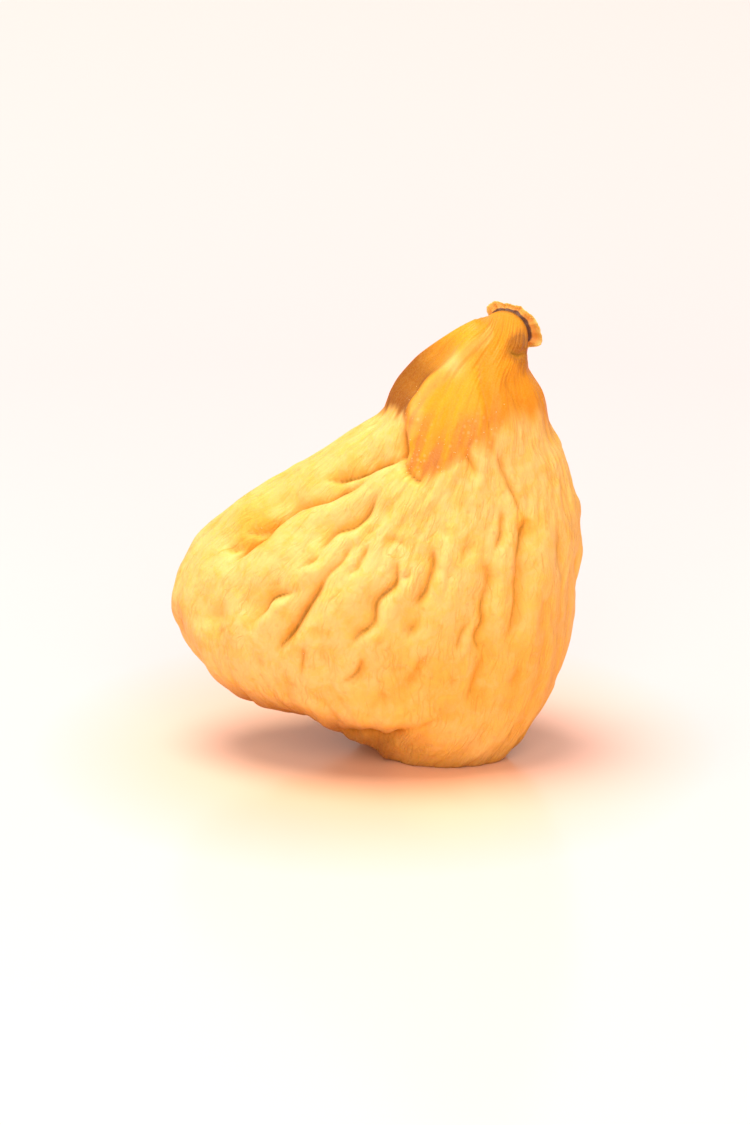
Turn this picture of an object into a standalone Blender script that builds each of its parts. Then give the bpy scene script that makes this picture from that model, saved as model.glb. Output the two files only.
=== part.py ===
"""A dried fig that sits on its blunt lower end: one closed skin, from the eye underneath to the cut stalk.

Run it with: blender --background --python part.py
The scene is in metres, +Z up, and the broad folded face of the fruit looks along -Y.
The tables below are in millimetres, in a drawing frame whose origin is where the face meets the floor.
"""

import math

import bmesh
import bpy
import numpy as np
from mathutils import Vector, noise

MM = 0.001

# Mesh: how many columns go round the fruit, and how many rings each stretch from eye to stalk gets
COLUMNS = 84
RINGS_PER_STRETCH = (1, 1, 1, 3, 3, 3, 4, 5, 5, 5, 5, 5, 5, 4, 4, 3, 3, 1, 1, 1, 1)
NARROWEST_CREASE = 1.2

# The eye: the small scaled opening at the blunt end, tucked under the back of the fruit
EYE_CENTRE = (-10.5, 14.0, 6.0)
EYE_OUTWARDS = (-0.25, 0.62, -0.74)
EYE_RIM_RADIUS = 2.1
EYE_PIT_RADIUS = 1.1
EYE_PIT_DEPTH = 1.1

# The stalk's cut end: a shallow cup with a thin papery rim, turned to the right and back
CUT_CENTRE = (7.0, 11.0, 45.4)
CUT_OUTWARDS = (0.35, 0.93, 0.07)
CUT_RIGHT = (0.936, -0.352, 0.0)
STALK_RADIUS = 2.45
GROOVE_RADIUS = 2.1
RIM_RADIUS = 2.95
RIM_SHIFT = 0.4
RIM_THICKNESS = 0.4
CUP_RADIUS = 2.3
CUP_DEPTH = 0.9

# Rings of the body, from the eye up to the neck, each through its right, back, left and front points
BODY_RINGS = (
    ((-5.5, 12.5, 4.1), (-10.5, 17.3, 9.4), (-15.0, 13.5, 7.8), (-9.5, 10.3, 3.4)),
    ((3.8, 7.6, 0.3), (-8.6, 17.8, 12.4), (-20.0, 10.8, 8.4), (-7.6, 2.8, 2.1)),
    ((9.5, 6.8, 3.3), (-7.4, 18.2, 14.6), (-24.4, 8.6, 10.0), (-7.2, -1.6, 4.4)),
    ((12.6, 6.6, 8.2), (-6.6, 18.3, 17.0), (-27.2, 7.4, 13.2), (-7.0, -4.4, 7.4)),
    ((14.2, 6.5, 13.8), (-6.0, 18.0, 20.0), (-28.2, 7.0, 17.4), (-6.9, -5.9, 11.8)),
    ((14.9, 6.5, 20.2), (-5.4, 17.2, 23.6), (-26.2, 7.0, 22.2), (-6.2, -6.4, 16.8)),
    ((15.0, 6.5, 25.2), (-4.4, 16.0, 27.2), (-22.0, 7.0, 26.0), (-5.0, -6.0, 21.8)),
    ((14.4, 6.4, 29.8), (-2.6, 14.6, 30.6), (-15.8, 7.0, 30.1), (-3.0, -4.8, 26.8)),
    ((13.4, 6.2, 33.6), (-0.4, 13.2, 33.8), (-9.8, 7.0, 34.5), (-1.0, -3.2, 31.4)),
    ((11.8, 6.0, 37.0), (2.0, 12.2, 36.8), (-6.0, 7.0, 37.5), (0.8, -2.2, 35.4)),
    ((11.0, 6.0, 40.0), (3.2, 11.4, 39.6), (-4.9, 7.0, 40.3), (1.8, -1.0, 39.2)),
    ((9.5, 6.0, 43.0), (4.4, 10.4, 41.4), (-2.4, 6.6, 43.8), (3.4, 1.2, 43.0)),
    ((9.4, 6.8, 44.4), (5.8, 10.3, 42.4), (3.5, 7.6, 47.6), (6.3, 4.9, 46.9)),
)
NECK_RING = 9

# Pushes on the plain skin: centre, reach, and how far it moves
PUSHES = (
    # the lobe that carries the weight, and the flat stretch behind it
    ((2.0, 1.5, 0.8), 5.0, (0.0, -0.7, -1.0)),
    ((-4.5, 7.5, 1.0), 6.0, (0.0, 0.0, -2.2)),
    # the hollow cheek at the back of the wing, and the full one behind the lobe
    ((-19.0, 16.0, 16.0), 8.0, (0.0, -2.4, 0.0)),
    ((6.0, 16.0, 15.0), 8.0, (0.5, 1.6, 0.0)),
)
FLOOR_ROUNDING = 0.35

# The folds of the face are laid out on a sheet held up at the origin, square to the line of sight
# from a low stand-off in front: across to the right, and up
SIGHT_DOWN = math.radians(18.0)
STAND_OFF = 664.1
SHEET_SHIFT = (25.0, 37.1)

# Sharp creases: depth, half width, lean to the left-hand bank, then points from the stalk outwards.
# The leant-on bank falls gently to the crease, and the other one rises from it as a puffed lip.
CREASES = (
    # the two grooves under the roll at the top left, and the pockets of the lower one
    (1.0, 1.4, -0.4, (
        (-3.5, 35.6), (-3.9, 33.5), (-6.4, 32.1), (-9.0, 31.2), (-11.0, 30.7), (-12.8, 30.3),
    )),
    (1.3, 2.0, -0.5, (
        (-7.2, 30.9), (-9.8, 29.6), (-12.3, 28.4), (-14.6, 27.8), (-16.5, 26.7), (-17.6, 25.8),
    )),
    (1.6, 1.9, -0.5, (
        (-15.4, 27.4), (-17.6, 25.8), (-18.6, 24.8), (-19.6, 23.8), (-20.9, 22.8),
        (-22.8, 21.4),
    )),
    (0.8, 1.2, -0.3, ((-17.6, 26.2), (-19.2, 25.3), (-21.4, 25.1))),
    (0.7, 1.0, -0.3, ((-20.6, 23.6), (-21.9, 23.2), (-23.2, 23.0))),
    # long meridian creases of the left half
    (0.9, 1.5, -0.4, (
        (-6.0, 29.2), (-7.4, 27.2), (-9.0, 25.9), (-10.9, 24.9), (-12.2, 23.8), (-12.8, 22.3),
    )),
    (0.9, 1.5, -0.4, ((-12.2, 23.8), (-12.8, 22.3), (-14.6, 21.4), (-15.3, 20.2))),
    (0.6, 1.4, -0.5, ((-8.4, 24.2), (-9.8, 22.7), (-11.2, 21.0), (-12.7, 19.0))),
    (1.4, 1.8, -0.5, (
        (-11.4, 20.8), (-12.7, 19.0), (-13.7, 17.0), (-15.0, 15.1), (-16.5, 13.1),
        (-17.4, 11.4),
    )),
    (1.1, 1.6, -0.5, ((-14.6, 18.8), (-16.7, 18.2), (-18.1, 17.6), (-18.8, 16.5), (-20.1, 14.7))),
    (0.5, 1.2, -0.2, ((-22.9, 15.4), (-23.4, 13.8), (-23.6, 12.6))),
    # the forked one left of the middle, and its hook
    (1.0, 1.6, -0.5, (
        (-4.3, 23.0), (-4.3, 20.2), (-5.3, 18.9), (-6.4, 17.4), (-6.9, 15.2), (-8.3, 14.0),
        (-9.7, 12.2),
    )),
    (0.6, 0.9, 0.2, ((-4.4, 20.1), (-3.0, 20.7), (-2.5, 21.5))),
    (0.8, 1.2, 0.2, ((-8.4, 12.4), (-8.1, 11.2), (-8.3, 10.1), (-9.1, 9.4), (-10.4, 9.0))),
    # the middle one and its lower step
    (0.9, 1.5, -0.5, (
        (-0.2, 24.4), (-0.4, 22.4), (-0.6, 20.8), (-1.2, 19.0), (-1.9, 17.8), (-2.4, 16.6),
    )),
    (0.7, 1.1, -0.2, ((-1.9, 16.2), (-2.7, 14.8), (-3.5, 13.3))),
    # right of the middle
    (0.7, 1.2, 0.0, ((6.9, 28.6), (6.7, 25.6), (6.3, 23.9), (6.1, 22.8))),
    (0.65, 1.3, 0.2, (
        (5.2, 22.8), (5.6, 20.8), (5.3, 19.2), (4.9, 17.4), (4.9, 15.6), (4.4, 14.0),
        (5.0, 11.8),
    )),
    (0.45, 1.2, 0.2, ((4.5, 12.9), (5.0, 11.8), (4.6, 10.2), (4.0, 8.7), (3.1, 6.6))),
    (0.6, 1.2, 0.2, ((5.8, 34.3), (6.8, 32.2), (7.8, 30.2), (8.6, 28.2), (9.2, 26.4))),
    (0.7, 1.3, 0.2, (
        (8.9, 27.4), (9.3, 26.2), (8.7, 25.0), (8.6, 22.5), (8.5, 20.0), (8.1, 15.8),
        (7.4, 14.0),
    )),
    (0.6, 1.1, -0.2, ((3.7, 16.4), (3.0, 15.0), (2.4, 13.5), (1.9, 11.8))),
    (0.5, 1.1, -0.2, ((-0.3, 12.9), (-1.5, 11.2), (-2.1, 9.9), (-2.8, 9.0), (-3.9, 8.4))),
    (0.4, 1.4, 0.2, ((12.6, 27.0), (12.9, 24.4), (13.1, 22.0), (13.5, 20.2))),
    (0.4, 1.3, 0.0, ((11.2, 19.4), (11.0, 16.6))),
    (0.4, 1.1, 0.0, ((1.8, 10.4), (1.6, 7.4))),
    # short ones between them
    (0.5, 1.1, 0.0, ((0.6, 26.6), (0.8, 25.2), (1.3, 24.2))),
    (0.4, 1.0, 0.0, ((-2.0, 26.0), (-2.3, 24.2))),
    (0.4, 1.0, 0.0, ((-6.0, 24.3), (-4.6, 24.4), (-3.6, 23.8), (-4.0, 23.0))),
    (0.6, 1.1, -0.3, ((-7.4, 24.4), (-7.8, 22.6), (-8.6, 21.2), (-9.8, 20.9))),
    (0.4, 1.0, 0.0, ((-6.6, 25.6), (-8.4, 24.7))),
    (0.5, 1.1, 0.0, ((-14.1, 13.8), (-14.3, 11.6), (-14.5, 8.8))),
    (0.4, 1.0, 0.0, ((-12.0, 13.0), (-11.8, 10.2))),
    (0.4, 1.0, 0.0, ((-16.8, 11.6), (-16.6, 10.0))),
    (0.4, 1.1, 0.0, ((-5.4, 10.3), (-2.8, 10.8))),
    (0.4, 1.0, 0.0, ((-19.0, 12.4), (-18.8, 9.6))),
    (0.3, 1.0, 0.0, ((-10.0, 8.0), (-10.4, 5.8))),
    (0.4, 1.0, 0.0, ((-5.8, 8.6), (-5.4, 6.2))),
    (0.3, 1.1, 0.0, ((9.0, 12.6), (8.3, 8.2))),
    # where the neck's apron meets the body
    (0.7, 0.8, 0.0, ((-3.6, 36.6), (-3.9, 33.4), (-3.8, 32.2), (-2.4, 30.7), (-1.5, 31.3))),
    (0.15, 0.9, 0.4, ((-1.7, 31.1), (-0.1, 31.6), (1.4, 32.3), (3.0, 33.4), (3.5, 34.5))),
    (0.5, 0.9, 0.0, ((2.6, 34.2), (3.4, 33.0), (3.8, 31.9), (3.9, 30.4))),
    # between the facets of the neck, and the pit under the stalk's end
    (0.4, 1.2, 0.3, ((3.8, 44.4), (4.2, 41.8), (4.8, 39.4), (5.2, 37.4), (5.8, 34.9))),
    (0.3, 1.2, 0.0, ((6.4, 43.0), (7.9, 39.8), (9.4, 37.2))),
    (0.8, 0.9, 0.0, ((6.9, 45.2), (7.8, 44.5), (8.7, 44.3), (9.8, 44.6))),
    # where the face overhangs the lobe
    (1.3, 1.4, 0.3, ((-12.4, 4.0), (-9.8, 3.3), (-7.6, 3.3), (-5.2, 3.0), (-3.6, 3.6), (-2.2, 4.0))),
    (0.3, 1.0, 0.2, ((-2.6, 3.8), (-1.0, 4.6), (0.4, 5.6))),
)

# Broad ridges (+) and hollows (-): height, half width, points
FOLDS = (
    # the roll at the top left, and the broad ridge below its groove
    (1.0, 1.7, ((-3.4, 36.4), (-8.0, 34.2), (-14.0, 30.8), (-19.0, 27.8), (-23.0, 24.6))),
    (0.6, 1.6, ((-4.0, 30.4), (-9.0, 28.2), (-14.0, 25.6), (-18.5, 22.0), (-21.5, 18.6))),
    (-0.5, 1.2, ((-18.4, 28.4), (-15.4, 27.8))),
    # hollows of the wing
    (-0.8, 1.8, ((-23.0, 18.2), (-23.8, 15.8), (-23.6, 13.4))),
    (-0.6, 1.9, ((-19.6, 18.4), (-20.4, 16.0))),
    (0.4, 1.2, ((-21.8, 19.4), (-22.0, 16.0), (-21.6, 13.0))),
    (0.4, 1.3, ((-17.0, 16.8), (-17.8, 14.0), (-18.6, 10.4))),
    # pillows between the long creases
    (0.6, 1.6, ((-8.0, 24.8), (-10.2, 23.2), (-12.6, 21.0), (-15.4, 17.4))),
    (0.7, 1.9, ((-6.0, 22.0), (-8.4, 19.0), (-10.8, 16.4), (-12.8, 13.4))),
    (0.6, 1.6, ((-2.4, 20.4), (-4.4, 17.2), (-5.8, 13.4), (-6.4, 9.6))),
    (0.6, 1.8, ((2.6, 25.0), (2.0, 21.6), (1.2, 17.6), (0.6, 13.6))),
    (-0.5, 1.5, ((3.4, 24.8), (3.0, 21.8))),
    (-0.4, 1.3, ((1.5, 22.2), (1.0, 20.0))),
    (0.5, 1.3, ((7.4, 27.4), (7.1, 22.6), (6.6, 18.0), (6.4, 13.0))),
    (0.6, 1.9, ((10.8, 28.4), (11.0, 22.8), (10.2, 16.8), (9.0, 11.4))),
    (0.5, 2.2, ((-5.8, 27.6), (-4.0, 28.4), (-1.4, 28.2))),
    (-0.4, 1.2, ((8.0, 33.8), (8.8, 31.4))),
    # facets of the neck: the ridge by its shaded side, the hollow beyond, and the ridge to the right
    (0.8, 0.9, (
        (4.2, 46.5), (3.0, 45.3), (1.2, 43.5), (-0.8, 41.4), (-2.3, 39.6), (-3.0, 37.8),
        (-3.2, 36.2),
    )),
    (-0.9, 1.5, ((1.6, 45.9), (-1.4, 43.4), (-3.4, 41.2), (-4.8, 38.8))),
    (0.4, 1.4, ((5.6, 43.8), (6.4, 40.0), (7.4, 36.0), (8.0, 33.0))),
    (0.3, 1.3, ((8.6, 42.4), (10.0, 38.6), (10.8, 34.6))),
    # the lip of the face above the lobe
    (0.5, 1.4, ((-11.0, 5.8), (-6.0, 4.8), (-1.6, 5.8), (1.2, 7.4))),
)

# Pleats, ribs and wrinkles by rule, on the sides and the back
PLEAT_SEED = 11
LONG_PLEATS = 22
SHORT_PLEATS = 90
EYE_PLEATS = 17
PLEAT_KINK = 0.035
RIB_COUNT = 15
RIB_LENGTH = 26.0
RIB_HEIGHT = 0.9
WRINKLE_COUNT = 36
WRINKLE_LENGTH = 11.0
WRINKLE_DEPTH = 0.45
WRINKLE_WIDTH = 0.5
FACE_SHARE = 0.3
# Finer ones all over, the face too
FINE_COUNT = 64
FINE_LENGTH = 7.0
FINE_DEPTH = 0.22
# Soft pleats all over, between the creases
SOFT_COUNT = 50
SOFT_LENGTH = 13.0
SOFT_HEIGHT = 0.24
# Small lumps all over
LUMP_COUNT = 34
LUMP_LENGTH = 4.2
LUMP_HEIGHT = 0.3
# How far creases wander off their lines, and over what length
WANDER = 0.35
WANDER_LENGTH = 2.6

SKIN_COLOUR = (0.83, 0.47, 0.13, 1.0)
SKIN_ROUGHNESS = 0.5


def unit(vector):
    vector = np.asarray(vector, float)
    return vector / np.linalg.norm(vector)


def smoothstep(value, low, high):
    share = np.clip((value - low) / (high - low), 0.0, 1.0)
    return share * share * (3 - 2 * share)


AHEAD = np.array([0.0, math.cos(SIGHT_DOWN), -math.sin(SIGHT_DOWN)])
ALOFT = np.array([0.0, math.sin(SIGHT_DOWN), math.cos(SIGHT_DOWN)])
VIEWPOINT = np.array([SHEET_SHIFT[0], 0, 0]) - STAND_OFF * AHEAD + SHEET_SHIFT[1] * ALOFT


def round_ring(centre, outwards, radius, right):
    """Right, back, left and front points of a round ring square to outwards."""
    right = unit(right - outwards * (right @ outwards))
    back = np.cross(right, outwards)
    return np.array([centre + radius * way for way in (right, back, -right, -back)])


def all_rings():
    """Every ring from the eye's pit to the middle of the cut, as an array (ring, point, xyz)."""
    eye, eye_out = np.array(EYE_CENTRE), unit(EYE_OUTWARDS)
    eye_right = np.array([1.0, 0.0, 0.0])
    pit = eye - eye_out * EYE_PIT_DEPTH
    cut, cut_out = np.array(CUT_CENTRE), unit(CUT_OUTWARDS)
    cut_right = np.array(CUT_RIGHT)
    rim_at = cut + cut_right * RIM_SHIFT
    rings = [
        round_ring(pit, eye_out, 0.0, eye_right),
        round_ring(pit, eye_out, EYE_PIT_RADIUS * 0.7, eye_right),
        round_ring(eye, eye_out, EYE_PIT_RADIUS, eye_right),
        round_ring(eye, eye_out, EYE_RIM_RADIUS, eye_right),
    ]
    rings += [np.array(ring) for ring in BODY_RINGS]
    rings += [
        round_ring(cut, -cut_out, STALK_RADIUS, cut_right),
        round_ring(cut + cut_out * 0.2, -cut_out, GROOVE_RADIUS, cut_right),
        round_ring(rim_at + cut_out * 0.6, -cut_out, RIM_RADIUS, cut_right),
        round_ring(rim_at + cut_out * (0.6 + RIM_THICKNESS), -cut_out, CUP_RADIUS, cut_right),
        round_ring(cut - cut_out * CUP_DEPTH, -cut_out, 0.0, cut_right),
    ]
    return np.array(rings)


RINGS = all_rings()
RING_GAPS = np.linalg.norm(np.diff(RINGS, axis=0), axis=2).mean(axis=1)
RING_AT = np.concatenate([[0.0], np.cumsum(RING_GAPS)])
EYE_RIM_AT = RING_AT[3]
NECK_AT = RING_AT[4 + NECK_RING]
CUT_AT = RING_AT[4 + len(BODY_RINGS)]


def through_rings(along):
    """The four points of the ring at each distance along: a curve that never overshoots close rings."""
    flat = RINGS.reshape(len(RINGS), 12)
    gap = np.diff(RING_AT)[:, None]
    slope = np.diff(flat, axis=0) / gap
    steady = slope[:-1] * slope[1:] > 0
    before = np.where(steady, slope[:-1], 1.0)
    after = np.where(steady, slope[1:], 1.0)
    weight_before = gap[:-1] + 2 * gap[1:]
    weight_after = 2 * gap[:-1] + gap[1:]
    mean = (weight_before + weight_after) / (weight_before / before + weight_after / after)
    tangent = np.vstack([slope[:1], np.where(steady, mean, 0.0), slope[-1:]])
    i = np.clip(np.searchsorted(RING_AT, along, side="right") - 1, 0, len(gap) - 1)
    h = gap[i]
    f = (along - RING_AT[i])[:, None] / h
    start = flat[i] * (1 + 2 * f) * (1 - f) ** 2 + tangent[i] * h * f * (1 - f) ** 2
    end = flat[i + 1] * f**2 * (3 - 2 * f) + tangent[i + 1] * h * f**2 * (f - 1)
    return (start + end).reshape(-1, 4, 3)


def plain_skin(turn, along):
    """The unfolded skin: turn is the angle round from the right side, along is mm from the eye."""
    ring = through_rings(along)
    right, back, left, front = ring[:, 0], ring[:, 1], ring[:, 2], ring[:, 3]
    points = (right + back + left + front) / 4
    points = points + (right - left) / 2 * np.cos(turn)[:, None]
    points = points + (back - front) / 2 * np.sin(turn)[:, None]
    points = points + (right - back + left - front) / 4 * np.cos(2 * turn)[:, None]
    for centre, reach, push in PUSHES:
        nearness = np.exp(-(np.linalg.norm(points - centre, axis=1) / reach) ** 2)
        points = points + nearness[:, None] * np.array(push)
    return points


def skin_normals(turn, along):
    end = RING_AT[-1]
    across = plain_skin(turn + 0.01, along) - plain_skin(turn - 0.01, along)
    upwards = plain_skin(turn, np.minimum(along + 0.1, end)) - plain_skin(turn, np.maximum(along - 0.1, 0))
    normal = np.cross(across, upwards)
    return normal / np.maximum(np.linalg.norm(normal, axis=1, keepdims=True), 1e-9)


def on_sheet(points):
    """Where points show on the sheet, in mm across and up."""
    offset = points - VIEWPOINT
    shown = np.column_stack([offset[:, 0], offset @ ALOFT])
    return shown * (STAND_OFF / (offset @ AHEAD))[:, None] + SHEET_SHIFT


def curve_through(points, steps=4):
    """A smooth line through points chosen by hand."""
    points = np.array(points)
    padded = np.vstack([2 * points[0] - points[1], points, 2 * points[-1] - points[-2]])
    line = []
    for a, b, c, d in zip(padded, padded[1:], padded[2:], padded[3:]):
        for f in np.arange(steps) / steps:
            bend = (a - 2.5 * b + 2 * c - d / 2) * f**2
            line.append(b + (c - a) * f / 2 + bend + (1.5 * (b - c) + (d - a) / 2) * f**3)
    line.append(points[-1])
    return np.array(line)


def stroke_distance(at, line, outwards=(0.0, 0.0, 1.0)):
    """Distance from a line (+ on its left bank, seen from outside), and distance in from its nearer end."""
    start, step = line[:-1], np.diff(line, axis=0)
    length = np.linalg.norm(step, axis=1)
    gone = np.concatenate([[0.0], np.cumsum(length)])
    offset = at[:, None, :] - start
    share = np.clip((offset * step).sum(-1) / length**2, 0.0, 1.0)
    away = offset - share[..., None] * step
    distance = np.linalg.norm(away, axis=-1)
    nearest = distance.argmin(axis=1)
    row = np.arange(len(at))
    side = (np.cross(step[nearest], away[row, nearest]) * outwards).sum(axis=1)
    run = gone[nearest] + share[row, nearest] * length[nearest]
    return distance[row, nearest] * np.where(side < 0, -1, 1), np.minimum(run, gone[-1] - run)


def on_paper(points):
    """Flat points of the sheet, with a third coordinate of nought."""
    points = np.array(points, float)
    return np.column_stack([points, np.zeros(len(points))])


def by_line(at, line, reach):
    """Which points lie within reach of the box round a line."""
    return np.all((at > line.min(axis=0) - reach) & (at < line.max(axis=0) + reach), axis=1)


def crease(away, inwards, depth, half_width, lean):
    """Height of a crease and its puffed lip."""
    width = max(half_width, NARROWEST_CREASE)
    reach = np.abs(away) / (width * np.where(away > 0, 1 + lean, 1 - lean))
    open_share = 0.1 + 0.9 * smoothstep(inwards, 0, 1.8 * half_width)
    lip = 0.4 * abs(lean) * np.exp(-(((reach - 1.5) / 0.8) ** 2)) * (away * lean < 0)
    return depth * open_share * (lip - np.clip(1 - reach, 0, 1) ** 1.8)


def face_relief(sheet):
    """Height of the hand-laid creases and folds where each point shows on the sheet."""
    sheet = on_paper(sheet)
    height = np.zeros(len(sheet))
    for depth, half_width, lean, points in CREASES:
        line = on_paper(curve_through(points))
        near = by_line(sheet, line, 3 * max(half_width, NARROWEST_CREASE))
        away, inwards = stroke_distance(sheet[near], line)
        height[near] += crease(away, inwards, depth, half_width, lean)
    for rise, half_width, points in FOLDS:
        line = on_paper(curve_through(points))
        near = by_line(sheet, line, 3 * half_width)
        away, inwards = stroke_distance(sheet[near], line)
        swell = np.exp(-((away / half_width) ** 2))
        height[near] += rise * swell * (0.25 + 0.75 * smoothstep(inwards, 0, 2 * half_width))
    return height


def ruled_pleats():
    """Creases by rule for the sides and the back: (depth, half width, lean, turns, distances along)."""
    chance = np.random.RandomState(PLEAT_SEED)
    rows = []

    def lay(turn, top, length, slant, depth, half_width):
        count = max(3, int(length / 2.5))
        bottom = max(top - length, EYE_RIM_AT + 0.6)
        along = np.linspace(top, bottom, count)
        kinks = np.cumsum(chance.uniform(-1, 1, count)) * PLEAT_KINK
        turns = turn + slant * np.linspace(0, 1, count) + kinks
        rows.append((depth, half_width, chance.uniform(-0.55, 0.55), turns, along))

    for number in range(LONG_PLEATS):
        turn = 2 * math.pi * (number + chance.uniform(-0.35, 0.35)) / LONG_PLEATS
        length = chance.uniform(9, 28)
        top = NECK_AT - chance.uniform(0, 16)
        slant = chance.uniform(-0.2, 0.2)
        lay(turn, top, length, slant, chance.uniform(0.6, 1.2), chance.uniform(1.1, 1.7))
        if chance.uniform() < 0.6:
            # a fork that leaves it part of the way down
            away = chance.choice([-1, 1])
            start = top - length * chance.uniform(0.2, 0.5)
            lay(turn + 0.3 * slant, start, length * 0.45, away * 0.22, chance.uniform(0.4, 0.8), 1.1)
    for _ in range(SHORT_PLEATS):
        turn = chance.uniform(0, 2 * math.pi)
        top = chance.uniform(EYE_RIM_AT + 8, NECK_AT - 2)
        length = chance.uniform(2.5, 8)
        slant = chance.uniform(-0.12, 0.12) * (1 if length > 4 else 3)
        lay(turn, top, length, slant, chance.uniform(0.3, 0.6), chance.uniform(0.8, 1.1))
    for number in range(EYE_PLEATS):
        turn = 2 * math.pi * (number + chance.uniform(-0.3, 0.3)) / EYE_PLEATS
        length = chance.uniform(3.5, 10)
        top = EYE_RIM_AT + 0.8 + length
        lay(turn, top, length, 0.0, chance.uniform(0.5, 0.9), chance.uniform(0.7, 1.1))
    return rows


def pleat_relief(points, normals, shown):
    """Height of the ruled pleats, at points of the plain skin that the face table leaves."""
    height = np.zeros(len(points))
    open_skin = shown < 1
    for depth, half_width, lean, turns, along in ruled_pleats():
        line = plain_skin(turns, along)
        near = by_line(points, line, 2.5 * max(half_width, NARROWEST_CREASE)) & open_skin
        if near.any():
            away, inwards = stroke_distance(points[near], line, normals[near])
            height[near] += crease(away, inwards, depth, half_width, lean)
    return height * (1 - shown)


def wandered(sheet):
    """The sheet's points, shifted a little by smooth noise, so that no crease runs ruler straight."""
    shift = []
    for across, up in sheet / WANDER_LENGTH:
        here = Vector((across, up, 2.0))
        shift.append((noise.noise(here), noise.noise(here + Vector((0, 0, 9.0)))))
    return sheet + WANDER * np.array(shift)


def noise_round(turn, along, count, length, seed):
    """Smooth noise, about -1 to 1, with count swings round the fruit, drawn out along it."""
    radius = count / (2 * math.pi)
    values = []
    for angle, at in zip(turn, along):
        spot = Vector((radius * math.cos(angle), radius * math.sin(angle), at / length + seed))
        values.append(noise.noise(spot))
    return np.array(values)


def rule_relief(turn, along):
    """Ribs and wrinkles that run from the stalk to the eye, for the sides and the back."""
    drift = 0.16 * noise_round(turn, along, 5, 9.0, 40.0)
    ribs = RIB_HEIGHT * noise_round(turn + drift, along, RIB_COUNT, RIB_LENGTH, 7.0)
    lines = noise_round(turn + drift, along, WRINKLE_COUNT, WRINKLE_LENGTH, 19.0)
    patch = smoothstep(noise_round(turn, along, 14, 6.0, 51.0), -0.25, 0.3)
    return ribs - WRINKLE_DEPTH * patch * np.clip(1 - np.abs(lines) / WRINKLE_WIDTH, 0, 1) ** 2


def fine_relief(turn, along):
    """Soft pleats and lumps, and fine wrinkles with rounded tops and sharp valleys, in patches."""
    drift = 0.1 * noise_round(turn, along, 8, 6.0, 61.0)
    fine = noise_round(turn + drift, along, FINE_COUNT, FINE_LENGTH, 3.0)
    patch = 0.6 + 0.8 * noise_round(turn, along, 9, 9.0, 83.0)
    soft = SOFT_HEIGHT * noise_round(turn + drift, along, SOFT_COUNT, SOFT_LENGTH, 71.0)
    lumps = LUMP_HEIGHT * noise_round(turn + drift, along, LUMP_COUNT, LUMP_LENGTH, 97.0)
    return soft + lumps - FINE_DEPTH * patch * np.exp(-np.abs(fine) / 0.25)


def folded_skin(turn, along):
    """The finished skin, with every fold, in the drawing frame."""
    points = plain_skin(turn, along)
    normals = skin_normals(turn, along)
    sight = VIEWPOINT - points
    facing = (normals * sight).sum(axis=1) / np.linalg.norm(sight, axis=1)
    shown = smoothstep(facing, 0.0, 0.3)
    by_rule = FACE_SHARE + (1 - FACE_SHARE) * (1 - shown)
    on_body = smoothstep(along, EYE_RIM_AT, EYE_RIM_AT + 4) * smoothstep(CUT_AT - along, 0, 3)
    on_neck = smoothstep(along, NECK_AT - 3, NECK_AT + 3)
    relief = shown * face_relief(wandered(on_sheet(points))) + pleat_relief(points, normals, shown)
    relief = relief + (1 - 0.85 * on_neck) * (by_rule * rule_relief(turn, along) + fine_relief(turn, along))
    points = points + normals * (relief * on_body)[:, None]
    points[:, 2] = settled(points[:, 2])
    return points


def settled(height):
    """Presses what would sink below the floor flat, with a rounded edge to the flat."""
    rounded = height**2 / (2 * FLOOR_ROUNDING)
    risen = np.where(height < FLOOR_ROUNDING, rounded, height - FLOOR_ROUNDING / 2)
    return np.where(height < 0, 0.0, risen)


def skin_material():
    material = bpy.data.materials.new("fig_skin")
    material.use_nodes = True
    shader = material.node_tree.nodes["Principled BSDF"]
    shader.inputs["Base Color"].default_value = SKIN_COLOUR
    shader.inputs["Roughness"].default_value = SKIN_ROUGHNESS
    shader.inputs["Metallic"].default_value = 0.0
    return material


def make_fig(collection):
    """A UV sphere whose poles become the eye and the middle of the cut."""
    rings = sum(RINGS_PER_STRETCH)
    shape = bmesh.new()
    bmesh.ops.create_uvsphere(shape, u_segments=COLUMNS, v_segments=rings, radius=1.0)
    ball = np.array([vertex.co for vertex in shape.verts])
    turn = np.arctan2(ball[:, 1], ball[:, 0])
    ring = np.arccos(np.clip(-ball[:, 2], -1, 1)) / math.pi * rings
    ring_index = np.concatenate([[0], np.cumsum(RINGS_PER_STRETCH)])
    points = folded_skin(turn, np.interp(ring, ring_index, RING_AT)) * MM
    centre = (points.min(axis=0) + points.max(axis=0)) / 2
    for vertex, point in zip(shape.verts, points):
        vertex.co = (point[0] - centre[0], point[1] - centre[1], point[2])
    mesh = bpy.data.meshes.new("dried_fig")
    shape.to_mesh(mesh)
    shape.free()
    mesh.shade_smooth()
    mesh.materials.append(skin_material())
    fig = bpy.data.objects.new("dried_fig", mesh)
    collection.objects.link(fig)
    return fig


def main():
    for thing in list(bpy.data.objects):
        bpy.data.objects.remove(thing)
    collection = bpy.data.collections.new("Dried fig")
    bpy.context.scene.collection.children.link(collection)
    make_fig(collection)


main()
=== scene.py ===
"""Looks of a dried fig: its leathery, folded skin, the papery rim and cut of the stalk, the scaled eye.

The skin is drawn by the same formulas as the CAD solid, from tables in millimetres in a drawing frame
whose origin is where the face meets the floor, and then carried to the frame's metres.
"""

import math

import bmesh
import bpy
import numpy as np
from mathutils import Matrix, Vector, noise


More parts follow.
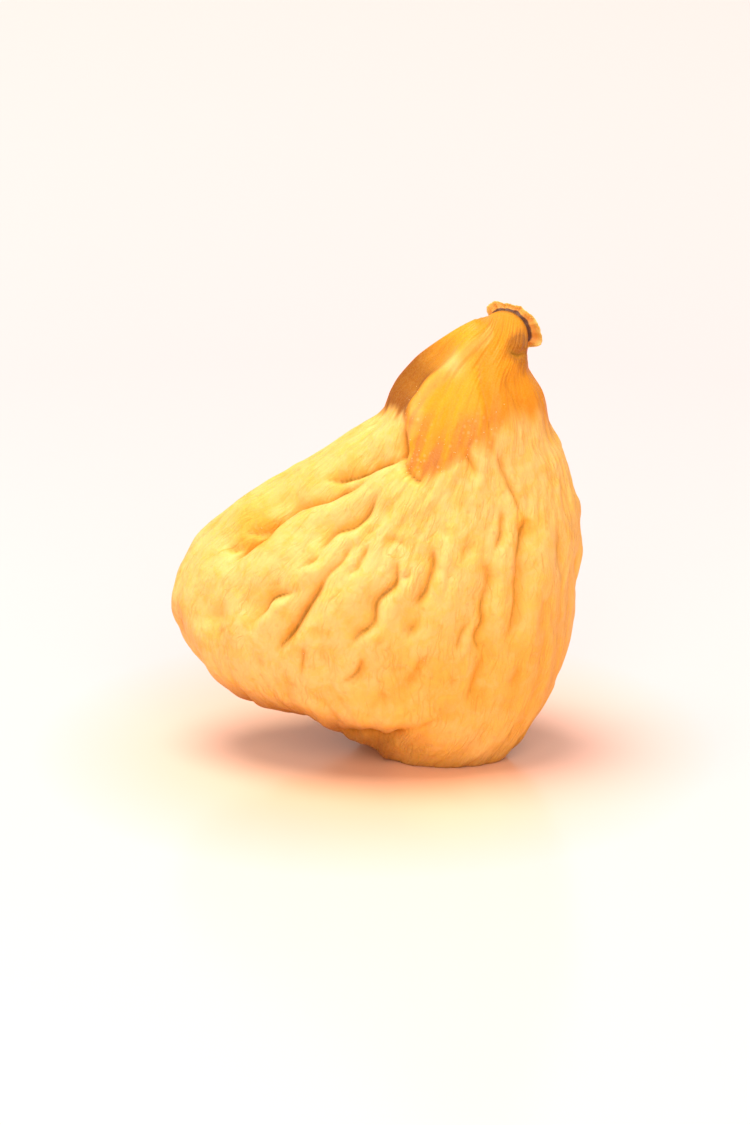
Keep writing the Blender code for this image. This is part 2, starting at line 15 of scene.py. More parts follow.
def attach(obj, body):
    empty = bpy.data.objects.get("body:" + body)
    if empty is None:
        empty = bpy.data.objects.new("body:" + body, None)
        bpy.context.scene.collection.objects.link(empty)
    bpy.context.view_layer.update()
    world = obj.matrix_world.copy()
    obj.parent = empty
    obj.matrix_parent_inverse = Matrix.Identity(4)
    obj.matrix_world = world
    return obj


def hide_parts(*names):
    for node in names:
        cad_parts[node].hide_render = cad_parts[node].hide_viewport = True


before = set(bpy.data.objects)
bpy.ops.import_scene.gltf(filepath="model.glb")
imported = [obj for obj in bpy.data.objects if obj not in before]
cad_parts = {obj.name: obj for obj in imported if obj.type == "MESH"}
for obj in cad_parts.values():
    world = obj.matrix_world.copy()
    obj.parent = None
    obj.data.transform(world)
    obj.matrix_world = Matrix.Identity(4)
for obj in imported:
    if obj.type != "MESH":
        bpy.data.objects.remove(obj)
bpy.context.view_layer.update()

MM = 0.001
MIDDLE = np.array([-6.559, 5.461, 0.0])

# Mesh of the skin: how many columns go round the fruit, how many rings lie between its poles,
# and the share of them that each stretch from eye to stalk gets
COLUMNS = 440
RINGS = 222
FRONT_DENSITY = 0.35
RING_SHARES = (1, 1, 1, 3, 3, 3, 4, 5, 5, 5, 5, 5, 5, 4, 4, 3, 3, 1, 1, 1, 1)

# The eye: the small scaled opening at the blunt end, tucked under the back of the fruit
EYE_CENTRE = (-10.5, 14.0, 6.0)
EYE_OUTWARDS = (-0.25, 0.62, -0.74)
EYE_RIM_RADIUS = 2.1
EYE_PIT_RADIUS = 1.1
EYE_PIT_DEPTH = 1.1

# The stalk's cut end, turned to the right and back
CUT_CENTRE = (7.0, 11.0, 45.4)
CUT_OUTWARDS = (0.35, 0.93, 0.07)
CUT_RIGHT = (0.936, -0.352, 0.0)
STALK_RADIUS = 2.45
GROOVE_RADIUS = 2.1
# Its papery rim: how far it reaches at each angle, from the right side round under to the flake and the top
RIM_REACH = (
    (0, 3.6), (22, 3.9), (36, 3.2), (60, 2.5), (90, 2.4), (150, 2.5), (205, 2.6),
    (220, 3.3), (240, 3.3), (256, 2.75), (285, 2.75), (320, 3.2), (360, 3.6),
)
RIM_HEIGHT = 0.8
RIM_WALL = 0.2
# How far its lip is torn in and out, and how often
RIM_TEARS = ((0.12, 1.7), (0.084, 4.1), (0.06, 9.0))

# Rings of the body, from the eye up to the neck, each through its right, back, left and front points
BODY_RINGS = (
    ((-5.5, 12.5, 4.1), (-10.5, 17.3, 9.4), (-15.0, 13.5, 7.8), (-9.5, 10.3, 3.4)),
    ((3.8, 7.6, 0.3), (-8.6, 17.8, 12.4), (-20.0, 10.8, 8.4), (-7.6, 2.8, 2.1)),
    ((9.5, 6.8, 3.3), (-7.4, 18.2, 14.6), (-24.4, 8.6, 10.0), (-7.2, -1.6, 4.4)),
    ((12.6, 6.6, 8.2), (-6.6, 18.3, 17.0), (-27.2, 7.4, 13.2), (-7.0, -4.4, 7.4)),
    ((14.2, 6.5, 13.8), (-6.0, 18.0, 20.0), (-28.2, 7.0, 17.4), (-6.9, -5.9, 11.8)),
    ((14.9, 6.5, 20.2), (-5.4, 17.2, 23.6), (-26.2, 7.0, 22.2), (-6.2, -6.4, 16.8)),
    ((15.0, 6.5, 25.2), (-4.4, 16.0, 27.2), (-22.0, 7.0, 26.0), (-5.0, -6.0, 21.8)),
    ((14.4, 6.4, 29.8), (-2.6, 14.6, 30.6), (-15.8, 7.0, 30.1), (-3.0, -4.8, 26.8)),
    ((13.4, 6.2, 33.6), (-0.4, 13.2, 33.8), (-9.8, 7.0, 34.5), (-1.0, -3.2, 31.4)),
    ((11.8, 6.0, 37.0), (2.0, 12.2, 36.8), (-6.0, 7.0, 37.5), (0.8, -2.2, 35.4)),
    ((11.0, 6.0, 40.0), (3.2, 11.4, 39.6), (-4.9, 7.0, 40.3), (1.8, -1.0, 39.2)),
    ((9.5, 6.0, 43.0), (4.4, 10.4, 41.4), (-2.4, 6.6, 43.8), (3.4, 1.2, 43.0)),
    ((9.4, 6.8, 44.4), (5.8, 10.3, 42.4), (3.5, 7.6, 47.6), (6.3, 4.9, 46.9)),
)
NECK_RING = 9

# Pushes on the plain skin: centre, reach, and how far it moves
PUSHES = (
    # the lobe that carries the weight, and the flat stretch behind it
    ((2.0, 1.5, 0.8), 5.0, (0.0, -0.7, -1.0)),
    ((-4.5, 7.5, 1.0), 6.0, (0.0, 0.0, -2.2)),
    # the hollow cheek at the back of the wing, and the full one behind the lobe
    ((-19.0, 16.0, 16.0), 8.0, (0.0, -2.4, 0.0)),
    ((6.0, 16.0, 15.0), 8.0, (0.5, 1.6, 0.0)),
)
FLOOR_ROUNDING = 0.35

# The folds of the face are laid out on a sheet held up at the origin, square to the line of sight
# from a low stand-off in front: across to the right, and up
SIGHT_DOWN = math.radians(18.0)
STAND_OFF = 664.1
SHEET_SHIFT = (25.0, 37.1)

# Sharp creases: depth, half width, lean to the left-hand bank, then points from the stalk outwards.
# The leant-on bank falls gently to the crease, and the other one rises from it as a puffed lip.
CREASES = (
    # the two grooves under the roll at the top left, and the pockets of the lower one
    (1.0, 1.4, -0.4, (
        (-3.5, 35.6), (-3.9, 33.5), (-6.4, 32.1), (-9.0, 31.2), (-11.0, 30.7), (-12.8, 30.3),
    )),
    (1.3, 2.0, -0.5, (
        (-7.2, 30.9), (-9.8, 29.6), (-12.3, 28.4), (-14.6, 27.8), (-16.5, 26.7), (-17.6, 25.8),
    )),
    (1.6, 1.9, -0.5, (
        (-15.4, 27.4), (-17.6, 25.8), (-18.6, 24.8), (-19.6, 23.8), (-20.9, 22.8),
        (-22.8, 21.4),
    )),
    (0.8, 1.2, -0.3, ((-17.6, 26.2), (-19.2, 25.3), (-21.4, 25.1))),
    (0.7, 1.0, -0.3, ((-20.6, 23.6), (-21.9, 23.2), (-23.2, 23.0))),
    # long meridian creases of the left half
    (0.9, 1.5, -0.4, (
        (-6.0, 29.2), (-7.4, 27.2), (-9.0, 25.9), (-10.9, 24.9), (-12.2, 23.8), (-12.8, 22.3),
    )),
    (0.9, 1.5, -0.4, ((-12.2, 23.8), (-12.8, 22.3), (-14.6, 21.4), (-15.3, 20.2))),
    (0.6, 1.4, -0.5, ((-8.4, 24.2), (-9.8, 22.7), (-11.2, 21.0), (-12.7, 19.0))),
    (1.4, 1.8, -0.5, (
        (-11.4, 20.8), (-12.7, 19.0), (-13.7, 17.0), (-15.0, 15.1), (-16.5, 13.1),
        (-17.4, 11.4),
    )),
    (1.1, 1.6, -0.5, ((-14.6, 18.8), (-16.7, 18.2), (-18.1, 17.6), (-18.8, 16.5), (-20.1, 14.7))),
    (0.5, 1.2, -0.2, ((-22.9, 15.4), (-23.4, 13.8), (-23.6, 12.6))),
    # the forked one left of the middle, and its hook
    (1.0, 1.6, -0.5, (
        (-4.3, 23.0), (-4.3, 20.2), (-5.3, 18.9), (-6.4, 17.4), (-6.9, 15.2), (-8.3, 14.0),
        (-9.7, 12.2),
    )),
    (0.6, 0.9, 0.2, ((-4.4, 20.1), (-3.0, 20.7), (-2.5, 21.5))),
    (0.8, 1.2, 0.2, ((-8.4, 12.4), (-8.1, 11.2), (-8.3, 10.1), (-9.1, 9.4), (-10.4, 9.0))),
    # the middle one and its lower step
    (0.9, 1.5, -0.5, (
        (-0.2, 24.4), (-0.4, 22.4), (-0.6, 20.8), (-1.2, 19.0), (-1.9, 17.8), (-2.4, 16.6),
    )),
    (0.7, 1.1, -0.2, ((-1.9, 16.2), (-2.7, 14.8), (-3.5, 13.3))),
    # right of the middle
    (0.7, 1.2, 0.0, ((6.9, 28.6), (6.7, 25.6), (6.3, 23.9), (6.1, 22.8))),
    (0.65, 1.3, 0.2, (
        (5.2, 22.8), (5.6, 20.8), (5.3, 19.2), (4.9, 17.4), (4.9, 15.6), (4.4, 14.0),
        (5.0, 11.8),
    )),
    (0.45, 1.2, 0.2, ((4.5, 12.9), (5.0, 11.8), (4.6, 10.2), (4.0, 8.7), (3.1, 6.6))),
    (0.6, 1.2, 0.2, ((5.8, 34.3), (6.8, 32.2), (7.8, 30.2), (8.6, 28.2), (9.2, 26.4))),
    (0.7, 1.3, 0.2, (
        (8.9, 27.4), (9.3, 26.2), (8.7, 25.0), (8.6, 22.5), (8.5, 20.0), (8.1, 15.8),
        (7.4, 14.0),
    )),
    (0.6, 1.1, -0.2, ((3.7, 16.4), (3.0, 15.0), (2.4, 13.5), (1.9, 11.8))),
    (0.5, 1.1, -0.2, ((-0.3, 12.9), (-1.5, 11.2), (-2.1, 9.9), (-2.8, 9.0), (-3.9, 8.4))),
    (0.4, 1.4, 0.2, ((12.6, 27.0), (12.9, 24.4), (13.1, 22.0), (13.5, 20.2))),
    (0.4, 1.3, 0.0, ((11.2, 19.4), (11.0, 16.6))),
    (0.4, 1.1, 0.0, ((1.8, 10.4), (1.6, 7.4))),
    # short ones between them
    (0.5, 1.1, 0.0, ((0.6, 26.6), (0.8, 25.2), (1.3, 24.2))),
    (0.4, 1.0, 0.0, ((-2.0, 26.0), (-2.3, 24.2))),
    (0.4, 1.0, 0.0, ((-6.0, 24.3), (-4.6, 24.4), (-3.6, 23.8), (-4.0, 23.0))),
    (0.6, 1.1, -0.3, ((-7.4, 24.4), (-7.8, 22.6), (-8.6, 21.2), (-9.8, 20.9))),
    (0.4, 1.0, 0.0, ((-6.6, 25.6), (-8.4, 24.7))),
    (0.5, 1.1, 0.0, ((-14.1, 13.8), (-14.3, 11.6), (-14.5, 8.8))),
    (0.4, 1.0, 0.0, ((-12.0, 13.0), (-11.8, 10.2))),
    (0.4, 1.0, 0.0, ((-16.8, 11.6), (-16.6, 10.0))),
    (0.4, 1.1, 0.0, ((-5.4, 10.3), (-2.8, 10.8))),
    (0.4, 1.0, 0.0, ((-19.0, 12.4), (-18.8, 9.6))),
    (0.3, 1.0, 0.0, ((-10.0, 8.0), (-10.4, 5.8))),
    (0.4, 1.0, 0.0, ((-5.8, 8.6), (-5.4, 6.2))),
    (0.3, 1.1, 0.0, ((9.0, 12.6), (8.3, 8.2))),
    # where the neck's apron meets the body
    (0.7, 0.8, 0.0, ((-3.6, 36.6), (-3.9, 33.4), (-3.8, 32.2), (-2.4, 30.7), (-1.5, 31.3))),
    (0.15, 0.9, 0.4, ((-1.7, 31.1), (-0.1, 31.6), (1.4, 32.3), (3.0, 33.4), (3.5, 34.5))),
    (0.5, 0.9, 0.0, ((2.6, 34.2), (3.4, 33.0), (3.8, 31.9), (3.9, 30.4))),
    # between the facets of the neck, and the pit under the stalk's end
    (0.4, 1.2, 0.3, ((3.8, 44.4), (4.2, 41.8), (4.8, 39.4), (5.2, 37.4), (5.8, 34.9))),
    (0.3, 1.2, 0.0, ((6.4, 43.0), (7.9, 39.8), (9.4, 37.2))),
    (0.8, 0.9, 0.0, ((6.9, 45.2), (7.8, 44.5), (8.7, 44.3), (9.8, 44.6))),
    # where the face overhangs the lobe
    (1.3, 1.4, 0.3, ((-12.4, 4.0), (-9.8, 3.3), (-7.6, 3.3), (-5.2, 3.0), (-3.6, 3.6), (-2.2, 4.0))),
    (0.3, 1.0, 0.2, ((-2.6, 3.8), (-1.0, 4.6), (0.4, 5.6))),
)

# Broad ridges (+) and hollows (-): height, half width, points
FOLDS = (
    # the roll at the top left, and the broad ridge below its groove
    (1.0, 1.7, ((-3.4, 36.4), (-8.0, 34.2), (-14.0, 30.8), (-19.0, 27.8), (-23.0, 24.6))),
    (0.6, 1.6, ((-4.0, 30.4), (-9.0, 28.2), (-14.0, 25.6), (-18.5, 22.0), (-21.5, 18.6))),
    (-0.5, 1.2, ((-18.4, 28.4), (-15.4, 27.8))),
    # hollows of the wing
    (-0.8, 1.8, ((-23.0, 18.2), (-23.8, 15.8), (-23.6, 13.4))),
    (-0.6, 1.9, ((-19.6, 18.4), (-20.4, 16.0))),
    (0.4, 1.2, ((-21.8, 19.4), (-22.0, 16.0), (-21.6, 13.0))),
    (0.4, 1.3, ((-17.0, 16.8), (-17.8, 14.0), (-18.6, 10.4))),
    # pillows between the long creases
    (0.6, 1.6, ((-8.0, 24.8), (-10.2, 23.2), (-12.6, 21.0), (-15.4, 17.4))),
    (0.7, 1.9, ((-6.0, 22.0), (-8.4, 19.0), (-10.8, 16.4), (-12.8, 13.4))),
    (0.6, 1.6, ((-2.4, 20.4), (-4.4, 17.2), (-5.8, 13.4), (-6.4, 9.6))),
    (0.6, 1.8, ((2.6, 25.0), (2.0, 21.6), (1.2, 17.6), (0.6, 13.6))),
    (-0.5, 1.5, ((3.4, 24.8), (3.0, 21.8))),
    (-0.4, 1.3, ((1.5, 22.2), (1.0, 20.0))),
    (0.5, 1.3, ((7.4, 27.4), (7.1, 22.6), (6.6, 18.0), (6.4, 13.0))),
    (0.6, 1.9, ((10.8, 28.4), (11.0, 22.8), (10.2, 16.8), (9.0, 11.4))),
    (0.5, 2.2, ((-5.8, 27.6), (-4.0, 28.4), (-1.4, 28.2))),
    (-0.4, 1.2, ((8.0, 33.8), (8.8, 31.4))),
    # facets of the neck: the ridge by its shaded side, the hollow beyond, and the ridge to the right
    (0.8, 0.9, (
        (4.2, 46.5), (3.0, 45.3), (1.2, 43.5), (-0.8, 41.4), (-2.3, 39.6), (-3.0, 37.8),
        (-3.2, 36.2),
    )),
    (-0.9, 1.5, ((1.6, 45.9), (-1.4, 43.4), (-3.4, 41.2), (-4.8, 38.8))),
    (0.4, 1.4, ((5.6, 43.8), (6.4, 40.0), (7.4, 36.0), (8.0, 33.0))),
    (0.3, 1.3, ((8.6, 42.4), (10.0, 38.6), (10.8, 34.6))),
    # the lip of the face above the lobe
    (0.5, 1.4, ((-11.0, 5.8), (-6.0, 4.8), (-1.6, 5.8), (1.2, 7.4))),
)

# Pleats, ribs and wrinkles by rule, on the sides and the back
PLEAT_SEED = 11
LONG_PLEATS = 22
SHORT_PLEATS = 90
EYE_PLEATS = 17
PLEAT_KINK = 0.035
RIB_COUNT = 15
RIB_LENGTH = 26.0
RIB_HEIGHT = 0.9
WRINKLE_COUNT = 36
WRINKLE_LENGTH = 11.0
WRINKLE_DEPTH = 0.45
WRINKLE_WIDTH = 0.35
FACE_SHARE = 0.3
# Finer ones all over, the face too
FINE_COUNT = 64
FINE_LENGTH = 7.0
FINE_DEPTH = 0.22
# Soft pleats all over, between the creases
SOFT_COUNT = 50
SOFT_LENGTH = 13.0
SOFT_HEIGHT = 0.24
# Small lumps all over
LUMP_COUNT = 34
LUMP_LENGTH = 4.2
LUMP_HEIGHT = 0.3
BEAD_COUNT = 66
BEAD_LENGTH = 2.4
BEAD_HEIGHT = 0.08
# How far creases wander off their lines, and over what length
WANDER = 0.35
WANDER_LENGTH = 2.6

# Only in the visual skin: puckers across the wrinkles, and fine ribs up the neck
PUCKER_COUNT = 110
PUCKER_LENGTH = 1.7
PUCKER_HEIGHT = 0.07
NECK_RIB_COUNT = 24
NECK_RIB_LENGTH = 16.0
NECK_RIB_HEIGHT = 0.1

# Where the amber neck ends on the face, as a line on the sheet
APRON_EDGE = (
    (-8.0, 39.0), (-3.5, 37.0), (-3.9, 32.8), (-2.3, 30.8), (-0.1, 31.6), (3.0, 33.3),
    (3.6, 34.5), (5.8, 34.1), (6.5, 36.0), (8.2, 37.3), (10.4, 37.0), (13.0, 36.0),
)
# The ridge between the neck's shaded left facet and its front, and the line where its flank begins
NECK_RIDGE = (
    (4.2, 46.5), (3.0, 45.4), (1.2, 43.7), (-0.8, 41.6), (-2.3, 39.8), (-3.0, 38.0),
    (-3.3, 36.2),
)
NECK_LINE = ((3.6, 46.0), (3.9, 43.8), (4.2, 41.8), (4.8, 39.4), (5.2, 37.4), (5.9, 34.9))
# The dark bruise under the stalk, partly purple-brown speckling and partly painted shade in the pit there,
# and a painted highlight high on the neck
BRUISE_AND_PIT_SHADE_AT = (8.6, 44.9)
BRUISE_AND_PIT_SHADE_REACH = 2.0
PAINTED_HIGHLIGHT_AT = (1.2, 43.2)
PAINTED_HIGHLIGHT_REACH = 1.3
# Places on the sheet where the skin is warmer or paler than the rule, partly its own tone and partly
# painted shade in pockets and low down: across, up, reach, how much warmer
TONES = (
    (-3.0, 28.0, 3.0, 0.8), (-19.5, 24.9, 1.8, 3.2), (9.2, 26.0, 1.2, 1.8), (0.5, 9.5, 5.5, 0.6),
    (10.5, 12.0, 5.0, 0.4), (4.0, 2.5, 4.0, -0.8), (-18.0, 29.0, 5.0, 0.55), (-8.5, 33.5, 4.0, 0.2),
    (-6.5, 21.5, 3.0, -0.2), (-12.0, 31.5, 3.5, 0.4), (2.5, 18.0, 2.5, -0.3), (12.0, 24.0, 3.0, -0.3),
)
# How often each mask on the skin is smoothed, and the radius that its grain is wound on
MASK_BLUR = {"neck": 2, "facet": 2, "flank": 1, "foot": 2}
GRAIN_RADIUS = 20.0
# Masks of the relief against its own smoothed form, for painted shade in creases and hollows and a painted
# highlight on ridges: how often that is smoothed, 1 for what stands out or -1 for what lies deeper, and the
# height that fills the mask
RELIEF_MASKS = {"crease": (40, -1, 0.32), "ridge": (60, 1, 0.35), "hollow": (120, -1, 0.9)}

# Grains of dried sugar: how many to the square metre where they are thickest, and their size
SUGAR_DENSITY = 1.8e6
SUGAR_SIZE = 0.06

# The eye's scales, whorl by whorl: count, ring radius, length, width, curl, tilt off the skin.
# Each is cupped across its width, and rucked all over.
EYE_WHORLS = (
    (7, 2.5, 1.7, 0.95, 0.25, 0.12),
    (6, 1.9, 1.4, 0.80, 0.3, 0.45),
    (5, 1.3, 1.0, 0.55, 0.2, 0.85),
)
SCALE_THICKNESS = 0.12
SCALE_CUP = 0.22
SCALE_RUCK = 0.7

# Camera, floor and light, the lights' places and sizes in metres
LENS = 200.0
CAMERA_AIM = (-6.5, 3.0, 22.0)
FLOOR_REACH = 3.0
KEY_LIGHT_AT = (-0.16, -0.02, 0.86)
KEY_LIGHT_SIZE = 0.55
KEY_LIGHT_POWER = 9.4
KEY_LIGHT_COLOUR = (1.0, 0.98, 0.94)
FILL_LIGHT_AT = (0.10, -0.76, 0.46)
FILL_LIGHT_SIZE = 0.8
FILL_LIGHT_POWER = 5.0
FILL_LIGHT_COLOUR = (1.0, 0.97, 0.92)
SKY_COLOUR = (1.0, 0.97, 0.93, 1.0)
SKY_STRENGTH = 0.56

# Colours, in Blender's linear red, green, blue
CREAM = (0.85, 0.515, 0.165)
GOLD = (0.82, 0.40, 0.045)
LEMON = (0.83, 0.46, 0.065)
ORANGE = (0.74, 0.27, 0.014)
# Painted shade in creases and in fine wrinkle lines, and a darker painted shade along the crease lines
CREASE_SHADE_TAN = (0.66, 0.27, 0.012)
CREASE_LINE_SHADE = (0.34, 0.125, 0.003)
PINK_CREAM = (0.88, 0.51, 0.17)
# Brown of the underside, also painted shade under the overhang and near the floor
UNDERSIDE_BROWN_AND_SHADE = (0.30, 0.085, 0.005)
AMBER = (0.80, 0.305, 0.008)
AMBER_ORANGE = (0.72, 0.24, 0.005)
# Painted shade on the neck: orange on its right flank, dark brown on its left facet
FLANK_PAINTED_SHADE = (0.64, 0.21, 0.004)
FACET_PAINTED_SHADE = (0.22, 0.048, 0.0)
FOOT_BROWN = (0.50, 0.165, 0.03)
# A purple-brown bruise under the stalk, also painted shade in the pit there
BRUISE_AND_PIT_SHADE = (0.26, 0.065, 0.001)
PAPER = (0.70, 0.30, 0.045)
PAPER_EDGE = (0.80, 0.44, 0.12)
PITH = (0.62, 0.36, 0.13)
# Dark pith, also a painted shadow in the groove at the stalk's cut and under its papery rim
DARK_PITH_AND_SHADOW = (0.10, 0.03, 0.005)
SCALE_CREAM = (0.80, 0.55, 0.26)
SCALE_BROWN = (0.32, 0.12, 0.03)
SUGAR = (0.90, 0.66, 0.36)
# The floor: a painted warm bounce and shade close round the fig, then plain, then a painted fall-off of
# light to peach far back
FLOOR_PAINTED_BOUNCE = (0.93, 0.52, 0.32)
FLOOR = (0.93, 0.59, 0.585)
FLOOR_PAINTED_FALLOFF = (0.93, 0.76, 0.72)


def unit(vector):
    vector = np.asarray(vector, float)
    return vector / np.linalg.norm(vector)


def smoothstep(value, low, high):
    share = np.clip((value - low) / (high - low), 0.0, 1.0)
    return share * share * (3 - 2 * share)


AHEAD = np.array([0.0, math.cos(SIGHT_DOWN), -math.sin(SIGHT_DOWN)])
ALOFT = np.array([0.0, math.sin(SIGHT_DOWN), math.cos(SIGHT_DOWN)])
VIEWPOINT = np.array([SHEET_SHIFT[0], 0, 0]) - STAND_OFF * AHEAD + SHEET_SHIFT[1] * ALOFT


# The skin's form


def round_ring(centre, outwards, radius, right):
    """Right, back, left and front points of a round ring square to outwards."""
    right = unit(right - outwards * (right @ outwards))
    back = np.cross(right, outwards)
    return np.array([centre + radius * way for way in (right, back, -right, -back)])


def all_rings():
    """Every ring from the eye's pit to the middle of the cut, as an array (ring, point, xyz)."""
    eye, eye_out = np.array(EYE_CENTRE), unit(EYE_OUTWARDS)
    eye_right = np.array([1.0, 0.0, 0.0])
    pit = eye - eye_out * EYE_PIT_DEPTH
    cut, cut_out = np.array(CUT_CENTRE), unit(CUT_OUTWARDS)
    cut_right = np.array(CUT_RIGHT)
    rings = [
        round_ring(pit, eye_out, 0.0, eye_right),
        round_ring(pit, eye_out, EYE_PIT_RADIUS * 0.7, eye_right),
        round_ring(eye, eye_out, EYE_PIT_RADIUS, eye_right),
        round_ring(eye, eye_out, EYE_RIM_RADIUS, eye_right),
    ]
    rings += [np.array(ring) for ring in BODY_RINGS]
    rings += [
        round_ring(cut, -cut_out, STALK_RADIUS, cut_right),
        round_ring(cut + cut_out * 0.2, -cut_out, GROOVE_RADIUS, cut_right),
        round_ring(cut + cut_out * 0.25, -cut_out, GROOVE_RADIUS * 0.8, cut_right),
        round_ring(cut + cut_out * 0.2, -cut_out, GROOVE_RADIUS * 0.45, cut_right),
        round_ring(cut + cut_out * 0.1, -cut_out, 0.0, cut_right),
    ]
    return np.array(rings)


RING_POINTS = all_rings()
RING_GAPS = np.linalg.norm(np.diff(RING_POINTS, axis=0), axis=2).mean(axis=1)
RING_AT = np.concatenate([[0.0], np.cumsum(RING_GAPS)])
EYE_RIM_AT = RING_AT[3]
NECK_AT = RING_AT[4 + NECK_RING]
CUT_AT = RING_AT[4 + len(BODY_RINGS)]


def through_rings(along):
    """The four points of the ring at each distance along: a curve that never overshoots close rings."""
    flat = RING_POINTS.reshape(len(RING_POINTS), 12)
    gap = np.diff(RING_AT)[:, None]
    slope = np.diff(flat, axis=0) / gap
    steady = slope[:-1] * slope[1:] > 0
    before = np.where(steady, slope[:-1], 1.0)
    after = np.where(steady, slope[1:], 1.0)
    weight_before = gap[:-1] + 2 * gap[1:]
    weight_after = 2 * gap[:-1] + gap[1:]
    mean = (weight_before + weight_after) / (weight_before / before + weight_after / after)
    tangent = np.vstack([slope[:1], np.where(steady, mean, 0.0), slope[-1:]])
    i = np.clip(np.searchsorted(RING_AT, along, side="right") - 1, 0, len(gap) - 1)
    h = gap[i]
    f = (along - RING_AT[i])[:, None] / h
    start = flat[i] * (1 + 2 * f) * (1 - f) ** 2 + tangent[i] * h * f * (1 - f) ** 2
    end = flat[i + 1] * f**2 * (3 - 2 * f) + tangent[i + 1] * h * f**2 * (f - 1)
    return (start + end).reshape(-1, 4, 3)


def plain_skin(turn, along):
    """The unfolded skin: turn is the angle round from the right side, along is mm from the eye."""
    ring = through_rings(along)
    right, back, left, front = ring[:, 0], ring[:, 1], ring[:, 2], ring[:, 3]
    points = (right + back + left + front) / 4
    points = points + (right - left) / 2 * np.cos(turn)[:, None]
    points = points + (back - front) / 2 * np.sin(turn)[:, None]
    points = points + (right - back + left - front) / 4 * np.cos(2 * turn)[:, None]
    for centre, reach, push in PUSHES:
        nearness = np.exp(-(np.linalg.norm(points - centre, axis=1) / reach) ** 2)
        points = points + nearness[:, None] * np.array(push)
    return points


def skin_normals(turn, along):
    end = RING_AT[-1]
    across = plain_skin(turn + 0.01, along) - plain_skin(turn - 0.01, along)
    upwards = plain_skin(turn, np.minimum(along + 0.1, end)) - plain_skin(turn, np.maximum(along - 0.1, 0))
    normal = np.cross(across, upwards)
    return normal / np.maximum(np.linalg.norm(normal, axis=1, keepdims=True), 1e-9)


def on_sheet(points):
    """Where points show on the sheet, in mm across and up."""
    offset = points - VIEWPOINT
    shown = np.column_stack([offset[:, 0], offset @ ALOFT])
    return shown * (STAND_OFF / (offset @ AHEAD))[:, None] + SHEET_SHIFT


def curve_through(points, steps=4):
    """A smooth line through given points."""
    points = np.array(points)
    padded = np.vstack([2 * points[0] - points[1], points, 2 * points[-1] - points[-2]])
    line = []
    for a, b, c, d in zip(padded, padded[1:], padded[2:], padded[3:]):
        for f in np.arange(steps) / steps:
            curving = (a - 2.5 * b + 2 * c - d / 2) * f**2
            line.append(b + (c - a) * f / 2 + curving + (1.5 * (b - c) + (d - a) / 2) * f**3)
    line.append(points[-1])
    return np.array(line)


def stroke_distance(at, line, outwards=(0.0, 0.0, 1.0)):
    """Signed distance from a line (+ on its left bank, seen from outside), and how far in from its ends."""
    start, step = line[:-1], np.diff(line, axis=0)
    length = np.linalg.norm(step, axis=1)
    gone = np.concatenate([[0.0], np.cumsum(length)])
    offset = at[:, None, :] - start
    share = np.clip((offset * step).sum(-1) / length**2, 0.0, 1.0)
    away = offset - share[..., None] * step
    distance = np.linalg.norm(away, axis=-1)
    nearest = distance.argmin(axis=1)
    row = np.arange(len(at))
    side = (np.cross(step[nearest], away[row, nearest]) * outwards).sum(axis=1)
    run = gone[nearest] + share[row, nearest] * length[nearest]
    return distance[row, nearest] * np.where(side < 0, -1, 1), np.minimum(run, gone[-1] - run)


def on_paper(points):
    """Flat points of the sheet, with a third coordinate of nought."""
    points = np.array(points, float)
    return np.column_stack([points, np.zeros(len(points))])


def by_line(at, line, reach):
    """Which points lie within reach of the box round a line."""
    return np.all((at > line.min(axis=0) - reach) & (at < line.max(axis=0) + reach), axis=1)


def crease(away, inwards, depth, half_width, lean):
    """Height of a crease and its puffed lip, and a mark of up to 1 along its line."""
    bank = half_width * np.where(away > 0, 1 + lean, 1 - lean)
    reach = np.abs(away) / bank
    open_share = 0.1 + 0.9 * smoothstep(inwards, 0, 1.8 * half_width)
    valley = 0.78 * np.clip(1 - reach, 0, 1) ** 1.8 + 0.22 * np.exp(-((away / 0.3) ** 2))
    lip = 0.4 * abs(lean) * np.exp(-(((reach - 1.5) / 0.8) ** 2)) * (away * lean < 0)
    return depth * open_share * (lip - valley), min(depth, 1.0) * open_share * np.exp(-((away / 0.2) ** 2))


def face_relief(sheet):
    """Height of the listed creases and folds on the sheet, and a mark of 1 along the crease lines."""
    sheet = on_paper(sheet)
    height = np.zeros(len(sheet))
    mark = np.zeros(len(sheet))
    for depth, half_width, lean, points in CREASES:
        line = on_paper(curve_through(points))
        near = by_line(sheet, line, 3 * half_width)
        away, inwards = stroke_distance(sheet[near], line)
        drop, here = crease(away, inwards, depth, half_width, lean)
        height[near] += drop
        mark[near] = np.maximum(mark[near], here)
    for rise, half_width, points in FOLDS:
        line = on_paper(curve_through(points))
        near = by_line(sheet, line, 3 * half_width)
        away, inwards = stroke_distance(sheet[near], line)
        swell = np.exp(-((away / half_width) ** 2))
        height[near] += rise * swell * (0.25 + 0.75 * smoothstep(inwards, 0, 2 * half_width))
    return height, mark


